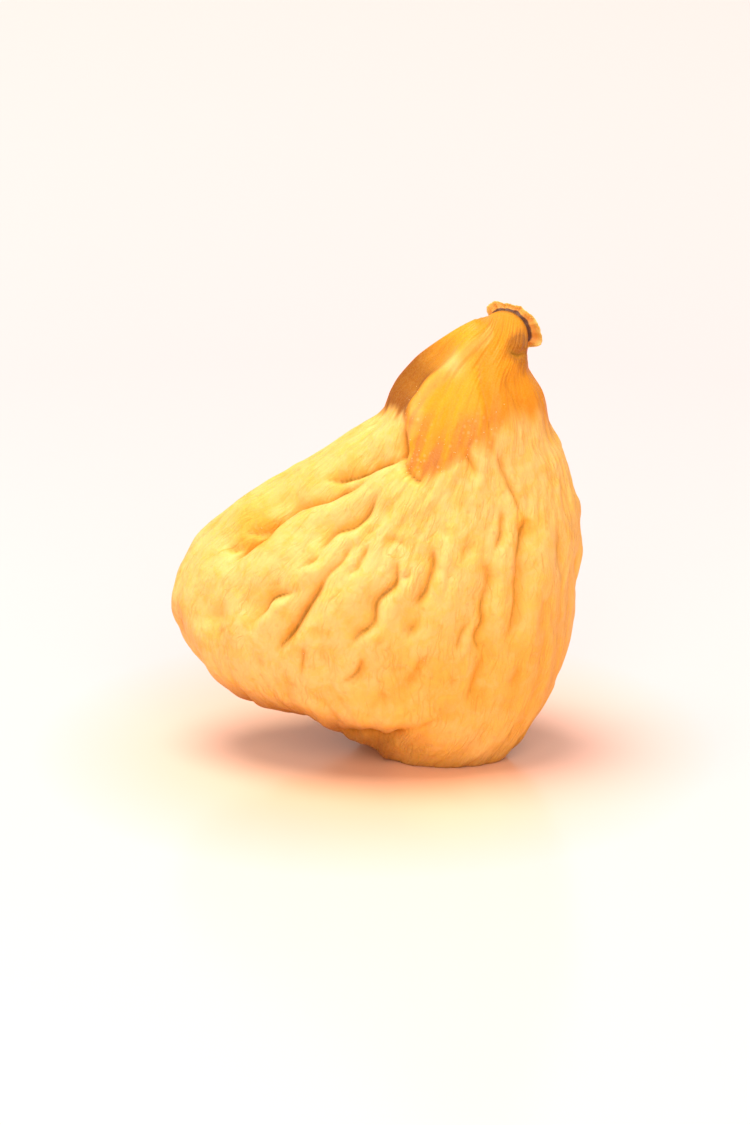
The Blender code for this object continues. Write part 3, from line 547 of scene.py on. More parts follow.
def ruled_pleats():
    """Creases by rule for the sides and the back: (depth, half width, lean, turns, distances along)."""
    chance = np.random.RandomState(PLEAT_SEED)
    rows = []

    def lay(turn, top, length, slant, depth, half_width):
        count = max(3, int(length / 2.5))
        bottom = max(top - length, EYE_RIM_AT + 0.6)
        along = np.linspace(top, bottom, count)
        kinks = np.cumsum(chance.uniform(-1, 1, count)) * PLEAT_KINK
        turns = turn + slant * np.linspace(0, 1, count) + kinks
        rows.append((depth, half_width, chance.uniform(-0.55, 0.55), turns, along))

    for number in range(LONG_PLEATS):
        turn = 2 * math.pi * (number + chance.uniform(-0.35, 0.35)) / LONG_PLEATS
        length = chance.uniform(9, 28)
        top = NECK_AT - chance.uniform(0, 16)
        slant = chance.uniform(-0.2, 0.2)
        lay(turn, top, length, slant, chance.uniform(0.6, 1.2), chance.uniform(1.1, 1.7))
        if chance.uniform() < 0.6:
            # a fork that leaves it part of the way down
            away = chance.choice([-1, 1])
            start = top - length * chance.uniform(0.2, 0.5)
            lay(turn + 0.3 * slant, start, length * 0.45, away * 0.22, chance.uniform(0.4, 0.8), 1.1)
    for _ in range(SHORT_PLEATS):
        turn = chance.uniform(0, 2 * math.pi)
        top = chance.uniform(EYE_RIM_AT + 8, NECK_AT - 2)
        length = chance.uniform(2.5, 8)
        slant = chance.uniform(-0.12, 0.12) * (1 if length > 4 else 3)
        lay(turn, top, length, slant, chance.uniform(0.3, 0.6), chance.uniform(0.8, 1.1))
    for number in range(EYE_PLEATS):
        turn = 2 * math.pi * (number + chance.uniform(-0.3, 0.3)) / EYE_PLEATS
        length = chance.uniform(3.5, 10)
        top = EYE_RIM_AT + 0.8 + length
        lay(turn, top, length, 0.0, chance.uniform(0.5, 0.9), chance.uniform(0.7, 1.1))
    return rows


def pleat_relief(points, normals, shown):
    """Height and line marks of the ruled pleats, at points of the plain skin that the face table leaves."""
    height = np.zeros(len(points))
    mark = np.zeros(len(points))
    open_skin = shown < 1
    for depth, half_width, lean, turns, along in ruled_pleats():
        line = plain_skin(turns, along)
        near = by_line(points, line, 2.5 * half_width) & open_skin
        if near.any():
            away, inwards = stroke_distance(points[near], line, normals[near])
            drop, here = crease(away, inwards, depth, half_width, lean)
            height[near] += drop
            mark[near] = np.maximum(mark[near], here)
    return height * (1 - shown), mark * (1 - shown)


def wandered(sheet):
    """The sheet's points, shifted a little by smooth noise, so that no crease runs ruler straight."""
    shift = []
    for across, up in sheet / WANDER_LENGTH:
        here = Vector((across, up, 2.0))
        shift.append((noise.noise(here), noise.noise(here + Vector((0, 0, 9.0)))))
    return sheet + WANDER * np.array(shift)


def noise_round(turn, along, count, length, seed):
    """Smooth noise, about -1 to 1, with count swings round the fruit, drawn out along it."""
    radius = count / (2 * math.pi)
    values = []
    for angle, at in zip(turn, along):
        spot = Vector((radius * math.cos(angle), radius * math.sin(angle), at / length + seed))
        values.append(noise.noise(spot))
    return np.array(values)


def rule_relief(turn, along):
    """Ribs and wrinkles that run from the stalk to the eye, for the sides and the back."""
    drift = 0.16 * noise_round(turn, along, 5, 9.0, 40.0)
    ribs = RIB_HEIGHT * noise_round(turn + drift, along, RIB_COUNT, RIB_LENGTH, 7.0)
    lines = noise_round(turn + drift, along, WRINKLE_COUNT, WRINKLE_LENGTH, 19.0)
    patch = smoothstep(noise_round(turn, along, 14, 6.0, 51.0), -0.25, 0.3)
    return ribs - WRINKLE_DEPTH * patch * np.clip(1 - np.abs(lines) / WRINKLE_WIDTH, 0, 1) ** 2


def fine_relief(turn, along):
    """Soft pleats, and fine wrinkles with rounded tops and sharp valleys, in patches."""
    drift = 0.1 * noise_round(turn, along, 8, 6.0, 61.0)
    fine = noise_round(turn + drift, along, FINE_COUNT, FINE_LENGTH, 3.0)
    patch = 0.6 + 0.8 * noise_round(turn, along, 9, 9.0, 83.0)
    soft = SOFT_HEIGHT * noise_round(turn + drift, along, SOFT_COUNT, SOFT_LENGTH, 71.0)
    lumps = LUMP_HEIGHT * noise_round(turn + drift, along, LUMP_COUNT, LUMP_LENGTH, 97.0)
    beads = BEAD_HEIGHT * noise_round(turn + drift, along, BEAD_COUNT, BEAD_LENGTH, 23.0)
    return soft + lumps + beads - FINE_DEPTH * patch * np.exp(-np.abs(fine) / 0.25)


def settled(height):
    """Presses what would sink below the floor flat, with a rounded edge to the flat."""
    rounded = height**2 / (2 * FLOOR_ROUNDING)
    risen = np.where(height < FLOOR_ROUNDING, rounded, height - FLOOR_ROUNDING / 2)
    return np.where(height < 0, 0.0, risen)


def blurred(field, passes):
    """A (ring, column) field, smoothed over its neighbours a number of times."""
    for _ in range(passes):
        field = (np.roll(field, 1, axis=1) + 2 * field + np.roll(field, -1, axis=1)) / 4
        padded = np.vstack([field[:1], field, field[-1:]])
        field = (padded[:-2] + 2 * field + padded[2:]) / 4
    return field


def line_distance(sheet, points):
    """Signed distance on the sheet from a smooth line through points, + on its left bank."""
    return stroke_distance(on_paper(sheet), on_paper(curve_through(points)))[0]


def near_spot(sheet, spot, reach):
    """1 at a spot on the sheet, fading to nought round it."""
    return np.exp(-(np.linalg.norm(sheet - spot, axis=1) / reach) ** 2)


def neck_masks(turn, along, sheet, facing, shown):
    """The amber neck and what shows on it: painted shade on its left facet and right flank, brown foot, a
    bruise with painted shade in its pit, and a painted highlight high up and along its ridge.
    """
    across, up = sheet.T
    ragged = noise_round(turn, along, 60, 2.6, 13.0)
    above_apron = line_distance(sheet, APRON_EDGE) + 1.1 * ragged
    beyond_ridge = -line_distance(sheet, NECK_RIDGE)
    beyond_line = -line_distance(sheet, NECK_LINE)
    softness = 0.6 + 0.5 * smoothstep(across, -2.0, 0.5) + smoothstep(across, 4.0, 8.0)
    neck = smoothstep(above_apron, -softness, softness) * smoothstep(up, 28, 31)
    neck = shown * neck + (1 - shown) * smoothstep(along, NECK_AT - 2.5, NECK_AT + 1.5)
    rising = smoothstep(along + 1.2 * ragged, NECK_AT - 2.5, NECK_AT + 2.5)
    # painted shade on the neck's left facet
    facet = 0.95 * rising * smoothstep(beyond_ridge, -0.2, 0.5) * smoothstep(up, 36, 38)
    streaky = noise_round(turn, along, 26, 16.0, 45.0)
    facet = facet * smoothstep(facing + 0.3 * streaky, -0.85, 0.0)
    facet = facet * (1 - smoothstep(up + 0.5 * across + 2.4 * streaky, 41.0, 47.5))
    # painted shade on the neck's right flank, which faces away from the light
    flank = smoothstep(facing, -0.45, -0.05) * neck * smoothstep(beyond_line, 0.25, -0.1)
    foot = neck * shown * (1 - smoothstep(above_apron, 0.5, 4.5)) * (1 - smoothstep(across, 4.5, 8.0))
    foot = foot * smoothstep(across, -4.4, -3.6)
    # a purple-brown bruise under the stalk, partly painted shade in the pit there
    bruise_and_pit_shade = smoothstep(along, NECK_AT, NECK_AT + 4) * near_spot(sheet, BRUISE_AND_PIT_SHADE_AT, BRUISE_AND_PIT_SHADE_REACH)
    # a painted highlight high on the neck and along its ridge
    crest = neck * shown * (1 - smoothstep(np.abs(beyond_ridge + 0.7), 0.2, 0.9))
    painted_highlight = np.maximum(shown * near_spot(sheet, PAINTED_HIGHLIGHT_AT, PAINTED_HIGHLIGHT_REACH), 0.35 * crest)
    return {"neck": neck, "facet": facet, "flank": flank, "foot": foot, "bruise_and_pit_shade": bruise_and_pit_shade, "painted_highlight": painted_highlight}


def warmth_and_shade_mask(sheet, shown):
    """How golden the skin is: more to the right and low down, as painted shade where less light falls, and
    by the table of tones, partly its own tone and partly painted shade.
    """
    warm = smoothstep(sheet[:, 0] - 0.9 * sheet[:, 1], -28, 6)
    for across, up, reach, warmer in TONES:
        warm = warm + warmer * shown * near_spot(sheet, (across, up), reach)
    return warm


def underside_and_shade_mask(points, normals, sheet, shown):
    """The underside, browner in itself and darkened further as painted shade, painted shade on the skin
    close to the floor, and painted shade under the face's overhang.
    """
    across, up = sheet.T
    under = smoothstep(-normals[:, 2], 0.35, 0.95) * smoothstep(EYE_CENTRE[2] + 6 - points[:, 2], 0, 5)
    # painted shade on the skin close to the floor
    low = 1 - smoothstep(points[:, 2], 0.0, 2.6)
    overhang_shade = shown * smoothstep(-across, 2.6, 5.4) * (1 - smoothstep(up, 2.6, 3.6))
    overhang_shade = overhang_shade * (1 - smoothstep(-across, 10.0, 12.0))
    return np.maximum(np.maximum(under, 0.6 * low), overhang_shade)


def skin_fields():
    """The finished skin as (ring, column) fields: its points in metres, and masks for its material."""
    shape = (RINGS + 1, COLUMNS)
    share_at = np.concatenate([[0], np.cumsum(RING_SHARES)]) / sum(RING_SHARES)
    ring_along = np.interp(np.arange(RINGS + 1) / RINGS, share_at, RING_AT)
    even_turn = np.arange(COLUMNS) / COLUMNS * 2 * math.pi
    column_turn = even_turn - FRONT_DENSITY * np.cos(even_turn)
    turn = np.tile(column_turn, RINGS + 1)
    along = np.repeat(ring_along, COLUMNS)
    points = plain_skin(turn, along)
    normals = skin_normals(turn, along)
    sight = VIEWPOINT - points
    facing = (normals * sight).sum(axis=1) / np.linalg.norm(sight, axis=1)
    shown = smoothstep(facing, 0.0, 0.3)
    sheet = wandered(on_sheet(points))
    face_height, face_mark = face_relief(sheet)
    pleat_height, pleat_mark = pleat_relief(points, normals, shown)
    by_rule = FACE_SHARE + (1 - FACE_SHARE) * (1 - shown)
    on_body = smoothstep(along, EYE_RIM_AT, EYE_RIM_AT + 4) * smoothstep(CUT_AT - along, 0, 3)
    on_neck = smoothstep(along, NECK_AT - 3, NECK_AT + 3)
    relief = shown * face_height + pleat_height
    relief = relief + (1 - 0.85 * on_neck) * (by_rule * rule_relief(turn, along) + fine_relief(turn, along))
    relief = relief + PUCKER_HEIGHT * noise_round(turn, along, PUCKER_COUNT, PUCKER_LENGTH, 5.0)
    neck_ribs = noise_round(turn, along, NECK_RIB_COUNT, NECK_RIB_LENGTH, 31.0)
    relief = (relief + NECK_RIB_HEIGHT * on_neck * neck_ribs) * on_body
    points = points + normals * relief[:, None]
    points[:, 2] = settled(points[:, 2])

    height = relief.reshape(shape)
    masks = neck_masks(turn, along, sheet, facing, shown)
    line = np.maximum(shown * face_mark, pleat_mark)
    strewn = smoothstep(noise_round(turn, along, 40, 3.0, 37.0), 0.0, 0.5)
    masks["sugar"] = np.clip(0.5 * masks["foot"] + 0.3 * strewn * line, 0, 1) * on_body
    # Lines along the creases, for sugar and for painted shade along them
    masks["line"] = on_body * line
    masks["warm"] = warmth_and_shade_mask(sheet, shown)
    masks["under"] = underside_and_shade_mask(points, normals, sheet, shown)
    masks["groove"] = smoothstep(along, CUT_AT - 0.7, CUT_AT - 0.1)
    masks["eye"] = 1 - smoothstep(along, EYE_RIM_AT - 0.5, EYE_RIM_AT + 3.0)
    fields = {name: blurred(mask.reshape(shape), MASK_BLUR.get(name, 0)) for name, mask in masks.items()}
    for name, (passes, side, full) in RELIEF_MASKS.items():
        fields[name] = np.clip(side * (height - blurred(height, passes)) / full, 0, 1)
    around = GRAIN_RADIUS * np.column_stack([np.cos(turn), np.sin(turn)])
    grain = np.column_stack([around, along]).reshape(*shape, 3) * MM
    return (points - MIDDLE).reshape(*shape, 3) * MM, fields, grain, ring_along


def new_object(name, mesh):
    thing = bpy.data.objects.new(name, mesh)
    bpy.context.scene.collection.objects.link(thing)
    return thing


def make_skin(skin_material, cut_material):
    points, fields, grain, ring_along = skin_fields()
    ball = bmesh.new()
    bmesh.ops.create_uvsphere(ball, u_segments=COLUMNS, v_segments=RINGS, radius=1.0)
    # The faces come in an order that varies from run to run, and the sugar is strewn face by face
    ball.verts.index_update()
    ball.faces.sort(key=lambda face: sum(math.sqrt(vertex.index) for vertex in face.verts))
    at = np.array([vertex.co for vertex in ball.verts])
    ring = np.rint(np.arccos(np.clip(-at[:, 2], -1, 1)) / math.pi * RINGS).astype(int)
    column = np.rint(np.arctan2(at[:, 1], at[:, 0]) / (2 * math.pi) * COLUMNS).astype(int) % COLUMNS
    for vertex, i, j in zip(ball.verts, ring, column):
        vertex.co = points[i, j]
    mesh = bpy.data.meshes.new("fig_skin")
    ball.to_mesh(mesh)
    ball.free()
    mesh.shade_smooth()
    for name, field in fields.items():
        attribute = mesh.attributes.new(name, "FLOAT", "POINT")
        attribute.data.foreach_set("value", field[ring, column].astype(np.float32))
    attribute = mesh.attributes.new("grain", "FLOAT_VECTOR", "POINT")
    attribute.data.foreach_set("vector", grain[ring, column].astype(np.float32).ravel())
    mesh.materials.append(skin_material)
    mesh.materials.append(cut_material)
    cut_ring = int(np.searchsorted(ring_along, CUT_AT + 0.05))
    for face in mesh.polygons:
        if ring[face.vertices[0]] >= cut_ring and min(ring[v] for v in face.vertices) >= cut_ring:
            face.material_index = 1
    skin = new_object("fig_skin", mesh)
    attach(skin, "root")
    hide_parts("dried_fig")
    return skin


# Node helpers


def put(tree, kind, **settings):
    node = tree.nodes.new(kind)
    for name, value in settings.items():
        setattr(node, name, value)
    return node


def feed(tree, socket, value):
    """Links a socket, or sets a plain value, on an input."""
    if isinstance(value, bpy.types.NodeSocket):
        tree.links.new(value, socket)
    elif isinstance(value, tuple) and len(value) == 3 and socket.type == "RGBA":
        socket.default_value = (*value, 1.0)
    else:
        socket.default_value = value


def calc(tree, operation, first, second=0.0, clamp=False):
    node = put(tree, "ShaderNodeMath", operation=operation, use_clamp=clamp)
    feed(tree, node.inputs[0], first)
    feed(tree, node.inputs[1], second)
    return node.outputs[0]


def times(tree, first, second, clamp=False):
    return calc(tree, "MULTIPLY", first, second, clamp)


def plus(tree, first, second):
    return calc(tree, "ADD", first, second)


def blend(tree, share, first, second):
    """Goes from the first colour to the second by a share of 0 to 1."""
    node = put(tree, "ShaderNodeMix", data_type="RGBA")
    feed(tree, node.inputs[0], share)
    feed(tree, node.inputs[6], first)
    feed(tree, node.inputs[7], second)
    return node.outputs[2]


def spread(tree, value, low, high):
    """Stretches the span low to high of a value over 0 to 1."""
    node = put(tree, "ShaderNodeMapRange", clamp=True)
    feed(tree, node.inputs["Value"], value)
    feed(tree, node.inputs["From Min"], low)
    feed(tree, node.inputs["From Max"], high)
    return node.outputs[0]


def mask(tree, name):
    return put(tree, "ShaderNodeAttribute", attribute_name=name).outputs["Fac"]


def new_group(name, inputs, outputs):
    """A shader group with named sockets: inputs are (name, kind, default), outputs are (name, kind)."""
    group = bpy.data.node_groups.new(name, "ShaderNodeTree")
    for label, kind, default in inputs:
        socket = group.interface.new_socket(label, in_out="INPUT", socket_type=kind)
        if default is not None:
            socket.default_value = default
    for label, kind in outputs:
        group.interface.new_socket(label, in_out="OUTPUT", socket_type=kind)
    return group, put(group, "NodeGroupInput"), put(group, "NodeGroupOutput")


def use_group(tree, group, **values):
    node = put(tree, "ShaderNodeGroup", node_tree=group)
    for name, value in values.items():
        feed(tree, node.inputs[name.replace("_", " ")], value)
    return node.outputs


def noise_of(tree, vector, scale, detail=3.0, roughness=0.5, distortion=0.0):
    node = put(tree, "ShaderNodeTexNoise")
    feed(tree, node.inputs["Vector"], vector)
    feed(tree, node.inputs["Scale"], scale)
    node.inputs["Detail"].default_value = detail
    node.inputs["Roughness"].default_value = roughness
    node.inputs["Distortion"].default_value = distortion
    return node.outputs["Fac"]


def wavy(tree, vector, scale, reach):
    """A vector pushed about by smooth noise, by up to half of reach each way."""
    sway = put(tree, "ShaderNodeTexNoise")
    tree.links.new(vector, sway.inputs["Vector"])
    sway.inputs["Scale"].default_value = scale
    sway.inputs["Detail"].default_value = 1.0
    centred = put(tree, "ShaderNodeVectorMath", operation="SUBTRACT")
    tree.links.new(sway.outputs["Color"], centred.inputs[0])
    centred.inputs[1].default_value = (0.5, 0.5, 0.5)
    shift = put(tree, "ShaderNodeVectorMath", operation="SCALE")
    tree.links.new(centred.outputs[0], shift.inputs[0])
    shift.inputs["Scale"].default_value = reach
    pushed = put(tree, "ShaderNodeVectorMath", operation="ADD")
    tree.links.new(vector, pushed.inputs[0])
    tree.links.new(shift.outputs[0], pushed.inputs[1])
    return pushed.outputs[0]


def drawn_out(tree, vector, stretch):
    """A vector with its third direction squeezed, so that what is drawn with it runs long that way."""
    squeeze = put(tree, "ShaderNodeCombineXYZ")
    squeeze.inputs[0].default_value = 1.0
    squeeze.inputs[1].default_value = 1.0
    feed(tree, squeeze.inputs[2], stretch)
    stretched = put(tree, "ShaderNodeVectorMath", operation="MULTIPLY")
    tree.links.new(vector, stretched.inputs[0])
    tree.links.new(squeeze.outputs[0], stretched.inputs[1])
    return stretched.outputs[0]


def streak_group():
    """Long soft streaks along the third direction of a grain, a little wavy, as a mask from 0 to 1."""
    sockets = [
        ("Grain", "NodeSocketVector", None),
        ("Scale", "NodeSocketFloat", 900.0),
        ("Stretch", "NodeSocketFloat", 0.12),
    ]
    group, given, result = new_group("long_streaks", sockets, [("Mask", "NodeSocketFloat")])
    swayed = wavy(group, given.outputs["Grain"], 260.0, 0.0009)
    stretched = drawn_out(group, swayed, given.outputs["Stretch"])
    value = noise_of(group, stretched, given.outputs["Scale"], detail=4.0, roughness=0.6)
    group.links.new(spread(group, value, 0.3, 0.7), result.inputs["Mask"])
    return group


def hairline_group():
    """Thin broken lines that run along the third direction of a grain, as a mask from 0 to 1."""
    sockets = [
        ("Grain", "NodeSocketVector", None),
        ("Scale", "NodeSocketFloat", 600.0),
        ("Stretch", "NodeSocketFloat", 0.14),
        ("Width", "NodeSocketFloat", 0.02),
    ]
    group, given, result = new_group("hairlines", sockets, [("Mask", "NodeSocketFloat")])
    swayed = wavy(group, given.outputs["Grain"], 420.0, 0.0014)
    stretched = drawn_out(group, swayed, given.outputs["Stretch"])
    value = noise_of(group, stretched, given.outputs["Scale"], detail=1.5)
    away = calc(group, "ABSOLUTE", calc(group, "SUBTRACT", value, 0.5))
    line = spread(group, away, given.outputs["Width"], 0.0)
    whole = spread(group, noise_of(group, given.outputs["Grain"], 380.0, detail=2.0), 0.42, 0.6)
    group.links.new(times(group, line, whole), result.inputs["Mask"])
    return group


def wrinkle_group():
    """A net of fine wrinkles round cells drawn out along the fruit, as a height from 0 to 1."""
    sockets = [
        ("Grain", "NodeSocketVector", None),
        ("Cells", "NodeSocketFloat", 900.0),
        ("Stretch", "NodeSocketFloat", 0.35),
    ]
    group, given, result = new_group("wrinkle_net", sockets, [("Height", "NodeSocketFloat")])
    swayed = wavy(group, given.outputs["Grain"], 700.0, 0.0011)
    stretched = drawn_out(group, swayed, given.outputs["Stretch"])
    cells = put(group, "ShaderNodeTexVoronoi", feature="DISTANCE_TO_EDGE")
    group.links.new(stretched, cells.inputs["Vector"])
    group.links.new(given.outputs["Cells"], cells.inputs["Scale"])
    height = put(group, "ShaderNodeMapRange", interpolation_type="SMOOTHERSTEP")
    group.links.new(cells.outputs["Distance"], height.inputs["Value"])
    height.inputs["From Max"].default_value = 0.28
    group.links.new(height.outputs[0], result.inputs["Height"])
    return group


def leather_group():
    """The grain of dried skin: small soft cells and grit, as a height from 0 to 1, and flecks."""
    sockets = [
        ("Place", "NodeSocketVector", None),
        ("Cells", "NodeSocketFloat", 1500.0),
        ("Grit", "NodeSocketFloat", 5200.0),
    ]
    outputs = [("Height", "NodeSocketFloat"), ("Fleck", "NodeSocketFloat")]
    group, given, result = new_group("dried_leather", sockets, outputs)
    cells = put(group, "ShaderNodeTexVoronoi", feature="SMOOTH_F1")
    group.links.new(given.outputs["Place"], cells.inputs["Vector"])
    group.links.new(given.outputs["Cells"], cells.inputs["Scale"])
    cells.inputs["Smoothness"].default_value = 0.6
    grit = noise_of(group, given.outputs["Place"], given.outputs["Grit"], detail=2.0)
    swell = calc(group, "SUBTRACT", 1.0, cells.outputs["Distance"])
    height = plus(group, times(group, swell, 0.7), times(group, grit, 0.3))
    group.links.new(height, result.inputs["Height"])
    group.links.new(spread(group, grit, 0.35, 0.75), result.inputs["Fleck"])
    return group


def freckle_group():
    """Small round spots, in a share of all cells, as a mask from 0 to 1."""
    sockets = [
        ("Place", "NodeSocketVector", None),
        ("Cells", "NodeSocketFloat", 900.0),
        ("Share", "NodeSocketFloat", 0.3),
    ]
    group, given, result = new_group("freckles", sockets, [("Mask", "NodeSocketFloat")])
    cells = put(group, "ShaderNodeTexVoronoi")
    group.links.new(given.outputs["Place"], cells.inputs["Vector"])
    group.links.new(given.outputs["Cells"], cells.inputs["Scale"])
    split = put(group, "ShaderNodeSeparateColor")
    group.links.new(cells.outputs["Color"], split.inputs[0])
    picked = calc(group, "LESS_THAN", split.outputs[0], given.outputs["Share"])
    spot = spread(group, cells.outputs["Distance"], 0.34, 0.12)
    group.links.new(times(group, picked, spot), result.inputs["Mask"])
    return group


def new_material(name):
    material = bpy.data.materials.new(name)
    material.use_nodes = True
    tree = material.node_tree
    return material, tree, tree.nodes["Principled BSDF"]


def bump(tree, shader, height, strength, distance, under=None):
    node = put(tree, "ShaderNodeBump")
    node.inputs["Strength"].default_value = strength
    node.inputs["Distance"].default_value = distance
    tree.links.new(height, node.inputs["Height"])
    if under is not None:
        tree.links.new(under, node.inputs["Normal"])
    tree.links.new(node.outputs[0], shader.inputs["Normal"])
    return node.outputs[0]


def skin_finish(streaks, hairlines, wrinkles, leather, freckles):
    material, tree, shader = new_material("fig_skin")
    place = put(tree, "ShaderNodeTexCoord").outputs["Object"]
    grain = put(tree, "ShaderNodeAttribute", attribute_name="grain").outputs["Vector"]
    neck_mask = mask(tree, "neck")
    foot_mask = mask(tree, "foot")
    broad = noise_of(tree, place, 95.0, detail=3.0, roughness=0.55)
    blotch = noise_of(tree, place, 310.0, detail=4.0, roughness=0.6)
    mottle = noise_of(tree, place, 620.0, detail=3.0, roughness=0.6, distortion=0.6)
    streak = use_group(tree, streaks, Grain=grain, Scale=700.0, Stretch=0.16)["Mask"]
    band = use_group(tree, streaks, Grain=grain, Scale=360.0, Stretch=0.12)["Mask"]
    hair_streak = use_group(tree, streaks, Grain=grain, Scale=2400.0, Stretch=0.12)["Mask"]
    net = use_group(tree, wrinkles, Grain=grain, Cells=1000.0, Stretch=0.38)["Height"]
    thin_line = use_group(tree, hairlines, Grain=grain, Scale=560.0, Stretch=0.15, Width=0.026)["Mask"]
    hairline = use_group(tree, hairlines, Grain=grain, Scale=1250.0, Stretch=0.2, Width=0.04)["Mask"]
    lines = calc(tree, "MAXIMUM", thin_line, times(tree, hairline, 0.6))
    off_neck = calc(tree, "SUBTRACT", 1.0, neck_mask)
    lines = times(tree, lines, off_neck)
    hide = use_group(tree, leather, Place=place, Cells=1700.0, Grit=6000.0)
    brown_spots = use_group(tree, freckles, Place=place, Cells=1100.0, Share=0.16)["Mask"]
    pale_spots = use_group(tree, freckles, Place=place, Cells=1500.0, Share=0.4)["Mask"]

    # the body: cream on the left and on top and gold to the right and low down, as painted light and shade,
    # with random gold; gold in the hollows as painted shade, a painted highlight on the ridges, and painted
    # shade in wrinkle valleys and fine lines
    warmth_and_shade = plus(tree, times(tree, mask(tree, "warm"), 0.5), times(tree, broad, 0.5))
    warmth_and_shade = spread(tree, plus(tree, warmth_and_shade, times(tree, mask(tree, "hollow"), 0.4)), 0.15, 1.1)
    colour = blend(tree, warmth_and_shade, CREAM, GOLD)
    colour = blend(tree, spread(tree, warmth_and_shade, 0.55, 1.25), colour, ORANGE)
    # a painted highlight on the ridges, along the pale streaks
    pale = times(tree, plus(tree, mask(tree, "ridge"), 0.25), streak)
    colour = blend(tree, times(tree, pale, 0.24), colour, CREAM)
    colour = blend(tree, times(tree, spread(tree, mottle, 0.48, 0.62), 0.5), colour, LEMON)
    colour = blend(tree, times(tree, spread(tree, blotch, 0.52, 0.7), 0.25), colour, ORANGE)
    colour = blend(tree, times(tree, spread(tree, mottle, 0.5, 0.36), 0.3), colour, PINK_CREAM)
    colour = blend(tree, times(tree, spread(tree, net, 0.45, 0.0), 0.1), colour, ORANGE)
    colour = blend(tree, times(tree, lines, 0.34), colour, CREASE_SHADE_TAN)
    # the underside's brown, with painted shade near the floor and under the face's overhang
    colour = blend(tree, times(tree, mask(tree, "under"), 0.85), colour, UNDERSIDE_BROWN_AND_SHADE)

    # the neck: translucent amber, orange painted shade on its right flank, dark painted shade on its left
    # facet, speckled at its foot, with a painted highlight high up and a bruise with painted shade in its
    # pit
    stripes = times(tree, spread(tree, plus(tree, band, blotch), 0.6, 1.5), 0.65)
    amber = blend(tree, stripes, AMBER, AMBER_ORANGE)
    amber = blend(tree, times(tree, mask(tree, "flank"), 0.8), amber, FLANK_PAINTED_SHADE)
    brown_foot = times(tree, foot_mask, spread(tree, plus(tree, band, mottle), 0.6, 1.3))
    amber = blend(tree, times(tree, brown_foot, 0.95), amber, FOOT_BROWN)
    amber = blend(tree, times(tree, mask(tree, "painted_highlight"), 0.7), amber, CREAM)
    amber = blend(tree, times(tree, mask(tree, "facet"), 0.95), amber, FACET_PAINTED_SHADE)
    colour = blend(tree, neck_mask, colour, amber)
    colour = blend(tree, times(tree, times(tree, foot_mask, pale_spots), 0.2), colour, SUGAR)
    speckle = spread(tree, plus(tree, blotch, mask(tree, "bruise_and_pit_shade")), 0.75, 1.2)
    colour = blend(tree, times(tree, speckle, 0.8), colour, BRUISE_AND_PIT_SHADE)

    # the ends, with a painted shadow in the groove before the stalk's cut, painted shade in the creases and
    # along their lines, and the finest flecks
    colour = blend(tree, times(tree, mask(tree, "groove"), 0.9), colour, DARK_PITH_AND_SHADOW)
    colour = blend(tree, times(tree, mask(tree, "eye"), 0.6), colour, SCALE_BROWN)
    # painted shade in the creases
    colour = blend(tree, times(tree, mask(tree, "crease"), 0.38), colour, CREASE_SHADE_TAN)
    # painted shade along the crease lines
    sharp = spread(tree, mask(tree, "line"), 0.18, 0.8)
    sharp = times(tree, sharp, plus(tree, 0.25, spread(tree, blotch, 0.36, 0.62)))
    colour = blend(tree, times(tree, sharp, 0.62, clamp=True), colour, CREASE_LINE_SHADE)
    colour = blend(tree, times(tree, brown_spots, 0.22), colour, FOOT_BROWN)
    colour = blend(tree, times(tree, hide["Fleck"], 0.12), colour, CREAM)
    tree.links.new(colour, shader.inputs["Base Color"])

    rough = plus(tree, 0.42, times(tree, hair_streak, 0.16))
    rough = calc(tree, "SUBTRACT", rough, times(tree, neck_mask, 0.1))
    rough = plus(tree, rough, times(tree, mask(tree, "facet"), 0.3))
    tree.links.new(rough, shader.inputs["Roughness"])
    shader.inputs["Specular IOR Level"].default_value = 0.14
    shader.inputs["Subsurface Weight"].default_value = 0.18
    shader.inputs["Subsurface Radius"].default_value = (1.0, 0.5, 0.1)
    shader.inputs["Subsurface Scale"].default_value = 0.0009
    patchy = times(tree, net, spread(tree, blotch, 0.35, 0.65))
    wrinkle = plus(tree, times(tree, streak, 0.3), times(tree, hair_streak, 0.08))
    wrinkle = times(tree, plus(tree, wrinkle, times(tree, patchy, 0.8)), off_neck)
    wrinkle = calc(tree, "SUBTRACT", wrinkle, lines)
    long_normal = bump(tree, shader, wrinkle, 0.5, 0.00012)
    soft_normal = bump(tree, shader, times(tree, mottle, off_neck), 0.4, 0.00013, under=long_normal)
    bump(tree, shader, hide["Height"], 0.5, 0.00008, under=soft_normal)
    return material


def cut_finish(streaks, leather):
    """The cut through the stalk: dry, brown and stringy, with dark rays."""
    material, tree, shader = new_material("stalk_cut")
    place = put(tree, "ShaderNodeTexCoord").outputs["Object"]
    grain = put(tree, "ShaderNodeAttribute", attribute_name="grain").outputs["Vector"]
    rays = use_group(tree, streaks, Grain=grain, Scale=420.0, Stretch=0.5)["Mask"]
    hide = use_group(tree, leather, Place=place, Cells=5200.0, Grit=9000.0)
    colour = blend(tree, rays, PITH, DARK_PITH_AND_SHADOW)
    colour = blend(tree, times(tree, hide["Fleck"], 0.5), colour, PAPER)
    tree.links.new(colour, shader.inputs["Base Color"])
    tree.links.new(plus(tree, 0.7, times(tree, rays, 0.2)), shader.inputs["Roughness"])
    bump(tree, shader, hide["Height"], 0.8, 0.00015)
    return material


